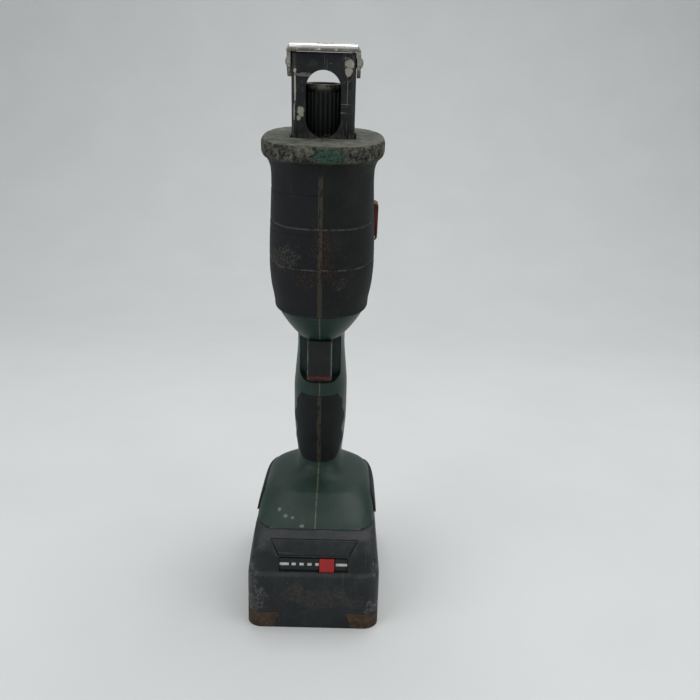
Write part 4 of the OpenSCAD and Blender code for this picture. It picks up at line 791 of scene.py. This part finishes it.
def trigger_plastic():
    """Trigger: near-black, paler grey along both side edges of its front."""
    m, t, i, c = start_material("Trigger black", Specular_IOR_Level=0.28)
    v = c["Object"]
    at = use(t, "Saw places", Vector=v)
    g = use(t, "Moulded grain", Vector=v, Scale=2600.0, Patch_scale=90.0)
    tone = mix(t, g["Patches"], (0.0040, 0.0046, 0.0048), (0.0070, 0.0076, 0.0078))
    # paler grey strips along both side edges of the front face
    edge = ramp(t, maths(t, "ABSOLUTE", at["Across"]), TRIGGER_W / 2 - 0.9, TRIGGER_W / 2 - 0.2)
    front = ramp(t, at["Forward"], 12.0, 15.0)
    tone = mix(t, times(t, edge, front, ramp(t, noise(t, v, 300.0, 5, 0.65), 0.32, 0.58), 0.7), tone,
            (0.14, 0.145, 0.145))
    s = use(t, "Fine scratches", Vector=v, Amount=0.4, Scale=60.0)["Mask"]
    tone = mix(t, s, tone, (0.03, 0.03, 0.03))
    link(t, tone, i["Base Color"])
    link(t, maths(t, "ADD", times(t, g["Patches"], 0.25), 0.30), i["Roughness"])
    bump(t, i, g["Height"], 0.5, 0.012 * MM)
    return m


def red_plastic(name, colour, shade, lit):
    """Red moulding, paler on the faces that look towards +x and up as a painted highlight, with dark grime in
    blotches.
    """
    m, t, i, c = start_material(name, Specular_IOR_Level=0.3)
    v = c["Object"]
    g = use(t, "Moulded grain", Vector=v, Scale=2600.0, Patch_scale=120.0)
    tone = mix(t, ramp(t, g["Patches"], 0.4, 0.6), colour, shade)
    split = t.nodes.new("ShaderNodeSeparateXYZ")
    link(t, c["Normal"], split.inputs[0])
    # painted highlight: faces that look towards +x or up are mixed towards the lit colour
    painted_highlight = times(t, ramp(t, maths(t, "MAXIMUM", split.outputs["X"], split.outputs["Z"]), 0.45, 0.95),
            ramp(t, noise(t, v, 350.0, 4), 0.35, 0.6), 0.7)
    tone = mix(t, painted_highlight, tone, lit)
    grime = times(t, ramp(t, noise(t, v, 260.0, 7, 0.7), 0.52, 0.68), 0.6)
    tone = mix(t, grime, tone, (0.022, 0.012, 0.010))
    link(t, tone, i["Base Color"])
    link(t, maths(t, "ADD", times(t, g["Patches"], 0.2), maths(t, "ADD", 0.36, times(t, grime, 0.4))), i["Roughness"])
    bump(t, i, g["Height"], 0.5, 0.015 * MM)
    return m


def clamp_sleeve():
    """Clamp sleeve: green-black ribs, dust on the rim and on the ribs' tops, a brown line at its foot."""
    m, t, i, c = start_material("Clamp sleeve", Specular_IOR_Level=0.25)
    v = c["Object"]
    at = use(t, "Saw places", Vector=v)
    g = use(t, "Moulded grain", Vector=v, Scale=2200.0, Patch_scale=150.0)
    tone = mix(t, g["Patches"], (0.0025, 0.0042, 0.0042), (0.0060, 0.0090, 0.0085))
    upper = ramp(t, at["Along"], CLAMP_TOP - 3.2, CLAMP_TOP - 1.0)
    tone = mix(t, times(t, upper, ramp(t, noise(t, v, 330.0, 6, 0.7), 0.36, 0.56), 0.85), tone, (0.15, 0.135, 0.095))
    tone = mix(t, times(t, lines(t, at["Along"], (NOSE_S + 1.3,), 1.1), ramp(t, noise(t, v, 300.0, 4), 0.35, 0.6),
            0.8), tone, (0.11, 0.07, 0.035))
    tone = mix(t, times(t, ramp(t, noise(t, v, 700.0, 5, 0.7), 0.56, 0.68), 0.4), tone, (0.05, 0.055, 0.045))
    link(t, tone, i["Base Color"])
    link(t, maths(t, "ADD", times(t, g["Patches"], 0.3), 0.34), i["Roughness"])
    bump(t, i, g["Height"], 0.6, 0.03 * MM)
    return m


def shoe_steel():
    """Plated shoe: bright where the work rubs it; what looks down, and less so sideways, is darkened golden-brown and
    matte as painted shade together with dirt and rust; fine pits."""
    m, t, i, c = start_material("Shoe plate", Metallic=1.0)
    v = c["Object"]
    n = noise(t, v, 500.0, 5, 0.65, (1, 6, 6))
    s = use(t, "Fine scratches", Vector=v, Amount=0.5, Scale=60.0)["Mask"]
    split = t.nodes.new("ShaderNodeSeparateXYZ")
    link(t, c["Normal"], split.inputs[0])
    # painted shade with dirt: faces that look down, and less so sideways, are darkened golden-brown and made less
    # metallic
    under = inverse(t, ramp(t, split.outputs["Z"], -0.45, 0.30))
    side = ramp(t, maths(t, "ABSOLUTE", split.outputs["X"]), 0.6, 0.9)
    dirt = times(t, maths(t, "MAXIMUM", under, times(t, side, 0.75)), ramp(t, noise(t, v, 280.0, 6, 0.7), 0.25, 0.50))
    pits = ramp(t, noise(t, v, 520.0, 5, 0.7), 0.60, 0.70)
    tone = mix(t, s, (0.80, 0.79, 0.75), (0.45, 0.44, 0.41))
    tone = mix(t, times(t, pits, 0.6), tone, (0.20, 0.17, 0.11))
    tone = mix(t, times(t, dirt, 0.9), tone, (0.085, 0.068, 0.040))
    link(t, tone, i["Base Color"])
    link(t, inverse(t, maths(t, "MAXIMUM", times(t, dirt, 0.75), times(t, pits, 0.4))), i["Metallic"])
    link(t, maths(t, "ADD", maths(t, "ADD", 0.16, times(t, n, 0.22)), times(t, dirt, 0.35), clamp=True),
            i["Roughness"])
    bump(t, i, maths(t, "SUBTRACT", n, times(t, pits, 1.5)), 0.35, 0.03 * MM)
    return m


def bumper_rubber():
    """Corner bumper: rust-brown rubber with dark grime and sandy dust."""
    m, t, i, c = start_material("Corner bumper", Specular_IOR_Level=0.2)
    v = c["Object"]
    g = use(t, "Moulded grain", Vector=v, Scale=1700.0, Patch_scale=120.0)
    tone = mix(t, ramp(t, g["Patches"], 0.35, 0.65), (0.030, 0.022, 0.015), (0.048, 0.034, 0.022))
    tone = mix(t, times(t, ramp(t, noise(t, v, 170.0, 7, 0.7), 0.46, 0.66), 0.75), tone, (0.085, 0.045, 0.025))
    tone = mix(t, times(t, ramp(t, noise(t, v, 420.0, 6, 0.7), 0.55, 0.68), 0.6), tone, (0.16, 0.125, 0.09))
    tone = mix(t, times(t, ramp(t, noise(t, v, 260.0, 5, 0.7, None, (0.4, 0, 0)), 0.56, 0.68), 0.7), tone,
            (0.010, 0.009, 0.008))
    link(t, tone, i["Base Color"])
    link(t, maths(t, "ADD", times(t, g["Patches"], 0.2), 0.62), i["Roughness"])
    bump(t, i, g["Height"], 0.7, 0.05 * MM)
    return m


MATERIALS = {}
DUST = (0.16, 0.13, 0.10)
MAKERS = {
    "housing_green": shell_green,
    "rubber_black": sleeve_rubber,
    "trigger_black": trigger_plastic,
    "trigger_red": lambda: red_plastic("Trigger red", (0.085, 0.014, 0.011), (0.055, 0.010, 0.008),
            (0.17, 0.045, 0.036)),
    "lever_red": lambda: red_plastic("Lever red", (0.075, 0.008, 0.005), (0.045, 0.006, 0.004), (0.24, 0.085, 0.065)),
    "bracket_black": lambda: painted("Bracket paint", (0.0048, 0.0052, 0.0060), (0.30, 0.29, 0.25)),
    "chrome_shoe": shoe_steel,
    "rivet_steel": lambda: metal("Rivet steel", (0.30, 0.285, 0.26), rough=(0.3, 0.5), dirt=0.5,
            dirt_colour=(0.06, 0.045, 0.03)),
    "clamp_black": clamp_sleeve,
    "steel": lambda: metal("Steel", (0.55, 0.55, 0.56)),
    "spring_steel": lambda: metal("Spring steel", (0.5, 0.5, 0.5)),
    "gear_steel": lambda: metal("Gear steel", (0.30, 0.30, 0.31), rough=(0.3, 0.5)),
    "aluminium": lambda: metal("Die cast case", (0.55, 0.55, 0.55), rough=(0.45, 0.65)),
    "bronze": lambda: metal("Bushing bronze", (0.45, 0.28, 0.12), rough=(0.35, 0.5)),
    "seal_rubber": lambda: moulded("Seal rubber", (0.02, 0.02, 0.02), (0.03, 0.03, 0.03), DUST),
    "copper": lambda: metal("Winding copper", (0.6, 0.26, 0.12), rough=(0.3, 0.45)),
    "fan_white": lambda: moulded("Fan plastic", (0.5, 0.5, 0.48), (0.45, 0.45, 0.43), DUST, dust=0.2),
    "switch_grey": lambda: moulded("Inner plastic", (0.03, 0.03, 0.03), (0.04, 0.04, 0.04), DUST, dust=0.1),
    "pcb_green": lambda: moulded("Board green", (0.012, 0.09, 0.03), (0.015, 0.11, 0.035), DUST, dust=0.05,
            rough=(0.2, 0.3)),
    "battery_black": pack_plastic,
    "bumper_brown": bumper_rubber,
    "display_black": display_film,
    "charge_red": lambda: moulded("Charge button red", (0.34, 0.016, 0.014), (0.27, 0.014, 0.012),
            (0.12, 0.05, 0.04), dust=0.12, rough=(0.32, 0.42), bump_mm=0.005, specular=0.3),
    "cell_wrap": lambda: moulded("Cell wrap", (0.02, 0.08, 0.25), (0.025, 0.09, 0.27), DUST, dust=0.02,
            rough=(0.2, 0.3), bump_mm=0.004),
    "frame_grey": lambda: moulded("Holder grey", (0.15, 0.15, 0.15), (0.17, 0.17, 0.17), DUST, dust=0.1),
}


def painted(name, colour, bare):
    """Black paint over steel: chips, a painted highlight along the bend of the right edge, hatched scratches and dust
    in the lower corners.
    """
    m, t, i, c = start_material(name, Specular_IOR_Level=0.3)
    v = c["Object"]
    at = use(t, "Saw places", Vector=v)
    chips = patches(t, v, (((13.6, -40, 321.5), (2.6, 4, 2.2)), ((13.2, -39.5, 317.8), (2.0, 4, 2.2)),
            ((-12.0, -35.5, 297.6), (1.8, 4, 2.8)),
                           ((-13.2, -35.4, 294.5), (1.2, 4, 1.6)), ((-15.1, -37.5, 309.5), (0.5, 4, 9.0)),
                                   ((-15.6, -35.4, 297.5), (0.4, 4, 4.6)),
                           ((-15.0, -39.4, 317.8), (0.9, 4, 0.9))), 0.42, 520.0)
    small = ramp(t, noise(t, v, 330.0, 6, 0.65), 0.68, 0.70)
    front = ramp(t, at["Forward"], 10.0, 11.0)
    hatch = times(t, band(t, at["Across"], 8.6, 16.0, 0.8), band(t, at["Along"], 298.0, 316.0, 2.0), front)
    strokes = times(t, hatch, ramp(t, noise(t, v, 55.0, 4, 0.6, (1.2, 1, 16)), 0.58, 0.66), 0.55)
    s = use(t, "Fine scratches", Vector=v, Amount=0.55, Scale=50.0)["Mask"]
    # painted highlight: a pale, partly metallic strip in the bare colour along the bend of the +x front edge
    edge = times(t, ramp(t, at["Across"], BRACKET_W / 2 - 1.1, BRACKET_W / 2 - 0.3), front,
            ramp(t, noise(t, v, 120.0, 4), 0.36, 0.55), 0.8)
    wear_and_highlight = maths(t, "MAXIMUM", maths(t, "MAXIMUM", chips, small),
            maths(t, "MAXIMUM", maths(t, "MAXIMUM", strokes, times(t, s, 0.7)), edge))
    tone = mix(t, ramp(t, noise(t, v, 90.0, 5, 0.6), 0.4, 0.6), colour, tuple(1.8 * k for k in colour))
    tone = mix(t, times(t, ramp(t, noise(t, v, 140.0, 7, 0.7, None, (0.2, 0, 0)), 0.50, 0.70), 0.35), tone,
            (0.06, 0.062, 0.055))
    tone = mix(t, wear_and_highlight, tone, bare)
    foot = times(t, inverse(t, ramp(t, at["Along"], NOSE_S + 0.5, NOSE_S + 4.0)),
            ramp(t, noise(t, v, 400.0, 5), 0.35, 0.6))
    link(t, mix(t, times(t, foot, 0.5), tone, (0.07, 0.065, 0.05)), i["Base Color"])
    link(t, times(t, wear_and_highlight, 0.35), i["Metallic"])
    link(t, maths(t, "ADD", 0.30, times(t, noise(t, v, 120.0), 0.25)), i["Roughness"])
    bump(t, i, maths(t, "SUBTRACT", noise(t, v, 900.0), wear_and_highlight), 0.4, 0.04 * MM)
    return m


def material(slot):
    """The material of a slot, made when it is first asked for."""
    if slot not in MATERIALS:
        MATERIALS[slot] = MAKERS[slot]()
    return MATERIALS[slot]


# ---------------------------------------------------------------- housing
def half_shell(name, side):
    """Half of the housing: outer superellipse skin, inner skin a wall inside it, joined at the front and back
    seams."""
    n = 40
    a = even_angles(n)
    edge = np.minimum(np.arange(n + 1), np.arange(n + 1)[::-1])
    seam = -0.28 * np.exp(-(edge / 0.6) ** 2)
    places = np.concatenate([np.linspace(BASE_S, SHOULDER_S, 40), np.linspace(SHOULDER_S, GRIP_S, 16)[1:],
                             np.linspace(GRIP_S, HEAD_S - 0.05, 70)[1:]])
    outer = body_points(along(BODY, places), a, seam[None, :], side)
    under = np.append(np.linspace(HEAD_S + 0.01, HEAD_S + 0.86 * HEAD_LEN, 12), CORE_TOP_S)
    rows_u = along(BODY, np.minimum(under, HEAD_S + 0.86 * HEAD_LEN))
    rows_u[:, 0] = under
    outer_u = body_points(rows_u, a, -RUBBER_T - 0.2, side)
    rows_i = along(BODY, places)
    behind = (places > WELL_S - 6) & (places < CHIN_S + 6)
    inner_rows = rows_i.copy()
    inner_rows[:, 1] -= WALL
    inner_rows[:, 3] -= WALL
    inner_rows[:, 2] -= np.where(behind, 12.0, WALL)
    inner = body_points(inner_rows, a, 0.0, side)
    inner_u_rows = rows_u.copy()
    inner_u_rows[:, 1:4] -= RUBBER_T + 0.2 + WALL
    inner_u_rows[-1, 1:5] = (BRACKET_W / 2 + 1, BRACKET_FRONT + 0.6, BRACKET_BACK + 1.7, 16)
    inner_u = body_points(inner_u_rows, a, 0.0, side)
    rings = np.concatenate([np.vstack([outer, outer_u]), np.vstack([inner, inner_u])[:, ::-1]], axis=1)
    faces = ring_faces(rings.shape[0], rings.shape[1])
    piece = new_piece(name, rings, faces, material("housing_green"))
    outward(piece)
    return piece


def well_cutter():
    """Trigger recess: a slot round at its foot, cut from the front to a flat floor."""
    w = WELL_W / 2
    outline = arc(-w + WELL_R, WELL_S + WELL_R, WELL_R, 180, 270) + arc(w - WELL_R, WELL_S + WELL_R, WELL_R, 270, 360)
    outline += [(w, WELL_S + TRIGGER_ROOM), (-w, WELL_S + TRIGGER_ROOM)]
    return prism("well", outline, -WELL_U - 40, -WELL_U)


def stem_cutter():
    """Cutter of the guide for the trigger's stem."""
    return prism("stem", arc(0, STEM_S, STEM_R + 0.6, 0, 345, 23), -20, 0)


def lever_cutter():
    """Cutter of the opening for the lock lever."""
    low = (LEVER_PIN_X - LEVER_HUB_R - GAP, -GAP, LEVER_PIN_S - LEVER_HUB_R - GAP)
    return box_cutter("pocket", low, (low[0] + 20, LEVER_W + GAP, low[2] + LEVER_LEN + 2 * GAP))


SCREWS = ((GRIP_S + 6, 19.5, 16), (WELL_S + 4, 20.5, 16), (CHIN_S + 7, 22.5, 22))


def screw_cutter(place, back, length):
    """Cutter of one screw hole."""
    a = np.radians(np.arange(24) * 15)
    ring = np.column_stack([np.zeros(24), back + 3.3 * np.cos(a), place + 3.3 * np.sin(a)])
    x0, x1 = -length / 2 - 20, -length / 2 + 2.4
    points = np.vstack([ring + (x0, 0, 0), ring + (x1, 0, 0)])
    faces = [list(range(24)), list(range(47, 23, -1))] + [(i, i + 24, (i + 1) % 24 + 24,
            (i + 1) % 24) for i in range(24)]
    return new_piece("screw", on_axis(points), faces, None)


# ---------------------------------------------------------------- rubber
def groove_depth(s, places, depth=0.5, half=0.9):
    """Depth of the moulded grooves at place s: a cosine dip about each groove's place."""
    total = np.zeros_like(s)
    for g in places:
        d = np.abs(s - g)
        total += np.where(d < half, depth * 0.5 * (1 + np.cos(np.pi * d / half)), 0)
    return total


def half_sleeve(name, side, grooves):
    """Rubber over the head: outer skin with grooves and the rolled guard, inner skin on the shell."""
    n = 48
    a = even_angles(n)
    edge = np.minimum(np.arange(n + 1), np.arange(n + 1)[::-1])
    seam = -0.3 * np.exp(-(edge / 0.6) ** 2)
    places = np.concatenate([[HEAD_S + 0.35], np.linspace(HEAD_S + 0.6, GUARD_S - 8, 150),
            np.linspace(GUARD_S - 8, NOSE_S, 46)[1:]])
    rows = along(SLEEVE, places)
    grow = seam[None, :] - groove_depth(places, grooves)[:, None]
    grow[0] -= 0.5
    outer = body_points(rows, a, grow, side)
    core = along(BODY, np.minimum(places, HEAD_S + 0.86 * HEAD_LEN))
    core[:, 0] = places
    inner_rows = core.copy()
    inner_rows[:, 1:4] -= RUBBER_T
    high = places > CORE_TOP_S + 0.15
    inner_rows[high, 1:5] = (BRACKET_W / 2 + 1, BRACKET_FRONT + 0.6, BRACKET_BACK + 1.7, 16)
    inner = body_points(inner_rows, a, 0.0, side)
    rings = np.concatenate([outer, inner[:, ::-1]], axis=1)
    piece = new_piece(name, rings, ring_faces(*rings.shape[:2]), material("rubber_black"))
    outward(piece)
    return piece


def skin_pad(name, places, a0, a1, thick, side, slot="rubber_black", across=24):
    """Pad on the body's skin between edge angles a0 and a1 along its length, with a rounded border."""
    t = np.linspace(0, 1, across + 1)
    a = np.radians(a0[:, None] * (1 - t) + a1[:, None] * t)
    border = np.minimum(1, np.minimum(np.arange(len(places)), np.arange(len(places))[::-1]) / 2.0)[:, None]
    out = 0.25 + (thick - 0.25) * np.sqrt(np.clip(1 - (1 - border) ** 2, 0, 1))
    out = np.broadcast_to(out, a.shape)
    rows = along(BODY, places)
    outer = body_points(rows, a, out, side)
    inner = body_points(rows, a, 0.03, side)
    rings = np.concatenate([outer, inner[:, ::-1]], axis=1)
    piece = new_piece(name, rings, ring_faces(*rings.shape[:2]), material(slot))
    outward(piece)
    return piece


def scallops(v):
    """Edge angle of the grip pad along its length: waves between 29 and 39 degrees, drawn in at both ends."""
    wave = 34 + 5 * np.cos(2 * np.pi * (v - 0.12) / 0.32)
    top = np.clip((v - 0.80) / 0.12, 0, 1)
    low = np.clip((0.10 - v) / 0.10, 0, 1)
    return wave * (1 - top) * (1 - low) + 50 * top + 55 * low


# ---------------------------------------------------------------- battery
def corner_ring(hw, front, back, r, n=8):
    """Rounded rectangle, counter-clockwise from the front right corner."""
    points = []
    for sx, y, a in ((1, -front + r, -90), (1, back - r, 0), (-1, back - r, 90), (-1, -front + r, 180)):
        points += [(sx * (hw - r) + px, y + py) for px, py in arc(0, 0, r, a, a + 90, n)]
    return np.array(points)


DECK_Z = BATT_H - 11
CASE = np.array([(TRAY_H, 0, 0), (DECK_Z - 16, 0, 0), (DECK_Z - 12.5, 0.1, 0.4), (DECK_Z - 9.8, 0.3, 2.4),
                 (DECK_Z, 1.6, 3.2), (BATT_H - 3.5, 2.6, 7.6), (BATT_H, 3, 14)], float)
BAND_W, BAND_H, RELEASE_W, RELEASE_H, RELEASE_TRAVEL = 40.4, 8.7, 50.0, 7.6, 2.5
BAND_Z, RELEASE_Z = DECK_Z - 10.1, DECK_Z + 0.4
DISPLAY_Y, RELEASE_BACK = -BATT_FRONT + 4.2, -BATT_FRONT + 9.6
CHARGE_X, CHARGE_W = 7.9, 8.8
CHANNEL_W, CHANNEL_FRONT = 56.0, 46.6
BATT_WALL, CAVITY_BACK = 3.0, 9.0


def plate_outline(w0, w1, z0, z1):
    """Outline of a trapezoid from its widths at two heights."""
    return [(-w0 / 2, z0), (w0 / 2, z0), (w1 / 2, z1), (-w1 / 2, z1)]


def battery_case():
    """Pack's case: rounded rectangles drawn in by the table of steps, then hollowed and cut for slide, button
    and band."""
    z = np.concatenate([np.linspace(TRAY_H + 0.15, DECK_Z - 16, 8), np.linspace(DECK_Z - 16, BATT_H, 60)[1:]])
    rows = along(CASE, z)
    rings = []
    for zz, side_in, front_in in rows:
        ring = corner_ring(BATT_W / 2 - side_in, BATT_FRONT - front_in, BATT_BACK - side_in, BATT_R)
        rings.append(np.column_stack([ring, np.full(len(ring), zz)]))
    rings = np.array(rings)
    piece = new_piece("Battery_case", rings, ring_faces(*rings.shape[:2]), material("battery_black"))
    outward(piece)
    hw = BATT_W / 2 - BATT_WALL
    y0 = -BATT_FRONT + 2 * BATT_WALL
    cut(piece,
        box_cutter("channel", (-CHANNEL_W / 2, -CHANNEL_FRONT, DECK_Z), (CHANNEL_W / 2, BATT_BACK + 5, DECK_Z + 20),
                False),
        box_cutter("cavity", (-hw, y0, TRAY_H - 1), (hw, BATT_BACK - CAVITY_BACK, DECK_Z - 2.5), False),
        prism("band", plate_outline(BAND_W + 0.4, BAND_W + 0.4, BAND_Z - 0.2, BAND_Z + BAND_H + 0.7), DISPLAY_Y - 10,
                DISPLAY_Y, False),
        prism("button", plate_outline(BAND_W + 2, RELEASE_W + 2, RELEASE_Z - GAP, RELEASE_Z + RELEASE_H + GAP),
                -BATT_FRONT - 10,
              RELEASE_BACK + RELEASE_TRAVEL + GAP, False),
        box_cutter("charge", (CHARGE_X - CHARGE_W / 2 - GAP, -BATT_FRONT, BAND_Z - 0.2),
                   (CHARGE_X + CHARGE_W / 2 + GAP, -BATT_FRONT + 5.4, BAND_Z + BAND_H + 0.2), False))
    rails = []
    for x in (-1, 1):
        rail = box_cutter("Rail", (x * (CHANNEL_W / 2 - 1.4) - 1.5, -38, DECK_Z + 4),
                (x * (CHANNEL_W / 2 - 1.4) + 1.5, BATT_BACK - 4, DECK_Z + 6.4), False)
        rails.append(rail)
    join(piece, rails)
    soften(piece, 0.35, 2, 40)
    return piece


def join(piece, others):
    """Joins other meshes into the piece."""
    bm = bmesh.new()
    bm.from_mesh(piece.data)
    for o in others:
        bm.from_mesh(o.data)
    bm.to_mesh(piece.data)
    bm.free()
    for o in others:
        bpy.data.objects.remove(o, do_unlink=True)


# ---------------------------------------------------------------- stage
def sweep():
    """Backdrop: a flat floor that turns up through a quarter circle into a wall, carried straight across."""
    v = np.linspace(0, math.pi / 2, 24)
    y = np.concatenate([[-2500], 700 + 900 * np.sin(v), [1600]])
    z = np.concatenate([[0], 900 - 900 * np.cos(v), [2600]])
    x = np.linspace(-2600, 2600, 9)
    points = np.stack(np.broadcast_arrays(x[None, :], y[:, None], z[:, None]), axis=-1)
    j, i = np.meshgrid(np.arange(len(y) - 1), np.arange(8), indexing="ij")
    a = j * 9 + i
    faces = np.stack([a, a + 1, a + 10, a + 9], axis=-1).reshape(-1, 4)
    return new_piece("Backdrop", points, faces, None)


# ---------------------------------------------------------------- operators
class SawShape(bpy.types.PropertyGroup):
    """Sizes that a user would change."""
    edge: bpy.props.FloatProperty(name="Edge rounding", description="Radius of the small moulded edges",
            default=0.25 * MM, min=0.0, unit="LENGTH", subtype="DISTANCE")
    pad: bpy.props.FloatProperty(name="Pad thickness", description="Height of the rubber pads above the skin",
            default=0.9 * MM, min=0.0, unit="LENGTH", subtype="DISTANCE")


class SAW_OT_stage(bpy.types.Operator):
    """Makes the floor, the soft lights and the camera"""
    bl_idname = "saw.stage"
    bl_label = "Stage"

    def execute(self, context):
        scene = context.scene
        scene.view_settings.view_transform = "Standard"
        floor = sweep()
        m, t, i, c = start_material("Backdrop paper", Roughness=0.85, Specular_IOR_Level=0.1)
        grain = noise(t, c["Object"], 9.0, 3)
        link(t, mix(t, grain, (0.55, 0.56, 0.555), (0.60, 0.61, 0.60)), i["Base Color"])
        set_material(floor, m)
        smooth(floor, 60)
        world = bpy.data.worlds.new("Studio")
        scene.world = world
        world.use_nodes = True
        world.node_tree.nodes["Background"].inputs["Color"].default_value = (0.93, 0.96, 1.0, 1)
        world.node_tree.nodes["Background"].inputs["Strength"].default_value = 0.5
        for name, place, turn, size, power in (
                ("Top light", (0.15, 0.25, 1.5), (-0.16, 0.1, 0), 1.1, 15),
                ("Left light", (-1.0, -0.75, 0.9), (1.0, 0, -0.9), 1.0, 6),
                ("Right light", (1.1, -0.6, 0.8), (1.05, 0, 1.05), 1.0, 4)):
            lamp = bpy.data.lights.new(name, "AREA")
            lamp.energy = power
            lamp.size = size
            o = bpy.data.objects.new(name, lamp)
            o.location = place
            o.rotation_euler = turn
            scene.collection.objects.link(o)
        data = bpy.data.cameras.new("Camera")
        data.sensor_width = 36
        data.lens = 35.54
        camera = bpy.data.objects.new("Camera", data)
        camera.location = (0.0146, -0.426, 0.264)
        camera.rotation_mode = "XYZ"
        yaw, pitch, roll = math.radians(-0.52), math.radians(14), math.radians(1.68)
        camera.rotation_euler = (Euler((math.pi / 2 - pitch, 0, yaw)).to_matrix() @ Euler((0, 0,
                roll)).to_matrix()).to_euler()
        scene.collection.objects.link(camera)
        scene.camera = camera
        return {"FINISHED"}


class SAW_OT_housing(bpy.types.Operator):
    """Makes the two moulded housing shells"""
    bl_idname = "saw.housing"
    bl_label = "Housing shells"

    def execute(self, context):
        left = half_shell("Left_housing_shell", 1)
        cut(left, well_cutter(), stem_cutter(), lever_cutter())
        soften(left, 0, angle=40)
        settle(left, "housing", "housing_green", "left_housing_shell")
        right = half_shell("Right_housing_shell", -1)
        cut(right, well_cutter(), stem_cutter(), *[screw_cutter(*s) for s in SCREWS])
        soften(right, 0, angle=40)
        settle(right, "housing", "housing_green", "right_housing_shell")
        return {"FINISHED"}


class SAW_OT_head_sleeve(bpy.types.Operator):
    """Makes the rubber sleeve of the head with its hand guard"""
    bl_idname = "saw.head_sleeve"
    bl_label = "Head sleeve"

    def execute(self, context):
        both = [HEAD_S + 0.34 * HEAD_LEN, HEAD_S + 0.6 * HEAD_LEN]
        left = half_sleeve("Left_head_sleeve", 1, both)
        cut(left, lever_cutter())
        smooth(left, 50)
        settle(left, "housing", "rubber_black", "left_head_sleeve")
        right = half_sleeve("Right_head_sleeve", -1, both + [HEAD_S + 0.555 * HEAD_LEN, HEAD_S + 0.8 * HEAD_LEN])
        smooth(right, 50)
        settle(right, "housing", "rubber_black", "right_head_sleeve")
        return {"FINISHED"}


class SAW_OT_pads(bpy.types.Operator):
    """Makes the rubber pads of the grip and foot"""
    bl_idname = "saw.pads"
    bl_label = "Rubber pads"

    def execute(self, context):
        for word, side in (("left", 1), ("right", -1)):
            v = np.linspace(0, 0.94, 90)
            grip = skin_pad(word.title() + "_grip_pad", GRIP_S - 0.6 + v * GRIP_LEN * 0.92, np.full(90, 90.0),
                    scallops(v), 0.9, side)
            smooth(grip, 40)
            settle(grip, "housing", "rubber_black", word + "_grip_pad")
            v = np.linspace(0, 1, 60)
            a0 = -38 - 17 * np.clip(1 - np.minimum(v, 1 - v) / 0.03, 0, 1)
            rear = skin_pad(word.title() + "_rear_pad", GRIP_S + 4 + v * (CHIN_S - GRIP_S - 8), a0,
                    np.full(60, -90.0), 0.9, side)
            smooth(rear, 40)
            settle(rear, "housing", "rubber_black", word + "_rear_pad")
        parts = []
        for side in (1, -1):
            v = np.linspace(0.02, 0.62, 30)
            a0 = np.interp(v, [0.02, 0.08, 0.55, 0.62], [9, 12, 12, 9])
            a1 = np.interp(v, [0.02, 0.08, 0.55, 0.62], [-38, -42, -42, -38])
            parts.append(skin_pad("Foot_side_pads", (BATT_H + GAP + v * FOOT_H) / math.cos(LEAN), a0, a1, 1.1, side))
        join(parts[0], parts[1:])
        smooth(parts[0], 40)
        settle(parts[0], "housing", "rubber_black", "foot_side_pads")
        return {"FINISHED"}


class SAW_OT_battery(bpy.types.Operator):
    """Makes the battery pack's case"""
    bl_idname = "saw.battery"
    bl_label = "Battery case"

    def execute(self, context):
        settle(battery_case(), "battery", "battery_black", "battery_case")
        return {"FINISHED"}


NEAR_PARTS = {
    "trigger": 0.4, "trigger_toe": 0.4, "shoe_lock_lever": 0.5, "shoe_bracket": 0.3, "shoe_plate": 0.3,
            "shoe_rivets": 0.4,
    "blade_clamp_core": 0.2, "blade_clamp_sleeve": 0.15, "battery_tray": 0.3, "battery_corner_bumpers": 0.3,
    "release_button": 0.4, "charge_button": 0.3, "charge_display": 0.1, "battery_slideway": 0.3,
            "housing_screws": 0.15,
}


class SAW_OT_near_parts(bpy.types.Operator):
    """Rounds the edges of the small outer parts and gives them their finish"""
    bl_idname = "saw.near_parts"
    bl_label = "Small outer parts"

    def execute(self, context):
        slots = {p["node"]: p["material_slot"] for p in frame["record"]["subparts"]}
        for name, width in NEAR_PARTS.items():
            carried(name, name.capitalize(), material(slots[name]), width)
        return {"FINISHED"}


class SAW_OT_inner_parts(bpy.types.Operator):
    """Gives the mechanism, motor and cells inside their finish"""
    bl_idname = "saw.inner_parts"
    bl_label = "Inner parts"

    def execute(self, context):
        slots = {p["node"]: p["material_slot"] for p in frame["record"]["subparts"]}
        for name, o in frame["nodes"].items():
            if name not in NEAR_PARTS:
                set_material(o, material(slots[name]))
        return {"FINISHED"}


class SAW_PT_panel(bpy.types.Panel):
    """Lists the saw's pieces in the sidebar"""
    bl_idname = "SAW_PT_panel"
    bl_label = "Reciprocating Saw"
    bl_space_type = "VIEW_3D"
    bl_region_type = "UI"
    bl_category = "Saw"

    def draw(self, context):
        for name in STEPS:
            self.layout.operator("saw." + name)
        self.layout.prop(context.scene.saw_shape, "edge")
        self.layout.prop(context.scene.saw_shape, "pad")


STEPS = ("stage", "inner_parts", "housing", "head_sleeve", "pads", "battery", "near_parts")
CLASSES = (SawShape, SAW_OT_stage, SAW_OT_inner_parts, SAW_OT_housing, SAW_OT_head_sleeve, SAW_OT_pads,
           SAW_OT_battery, SAW_OT_near_parts, SAW_PT_panel)


def register():
    """Register the classes and the sizes."""
    for c in CLASSES:
        bpy.utils.register_class(c)
    bpy.types.Scene.saw_shape = bpy.props.PointerProperty(type=SawShape)


def unregister():
    """Take the classes and the sizes away."""
    del bpy.types.Scene.saw_shape
    for c in reversed(CLASSES):
        bpy.utils.unregister_class(c)


def main():
    """Make every piece."""
    register()
    for name in STEPS:
        getattr(bpy.ops.saw, name)()


if __name__ == "__main__":
    main()
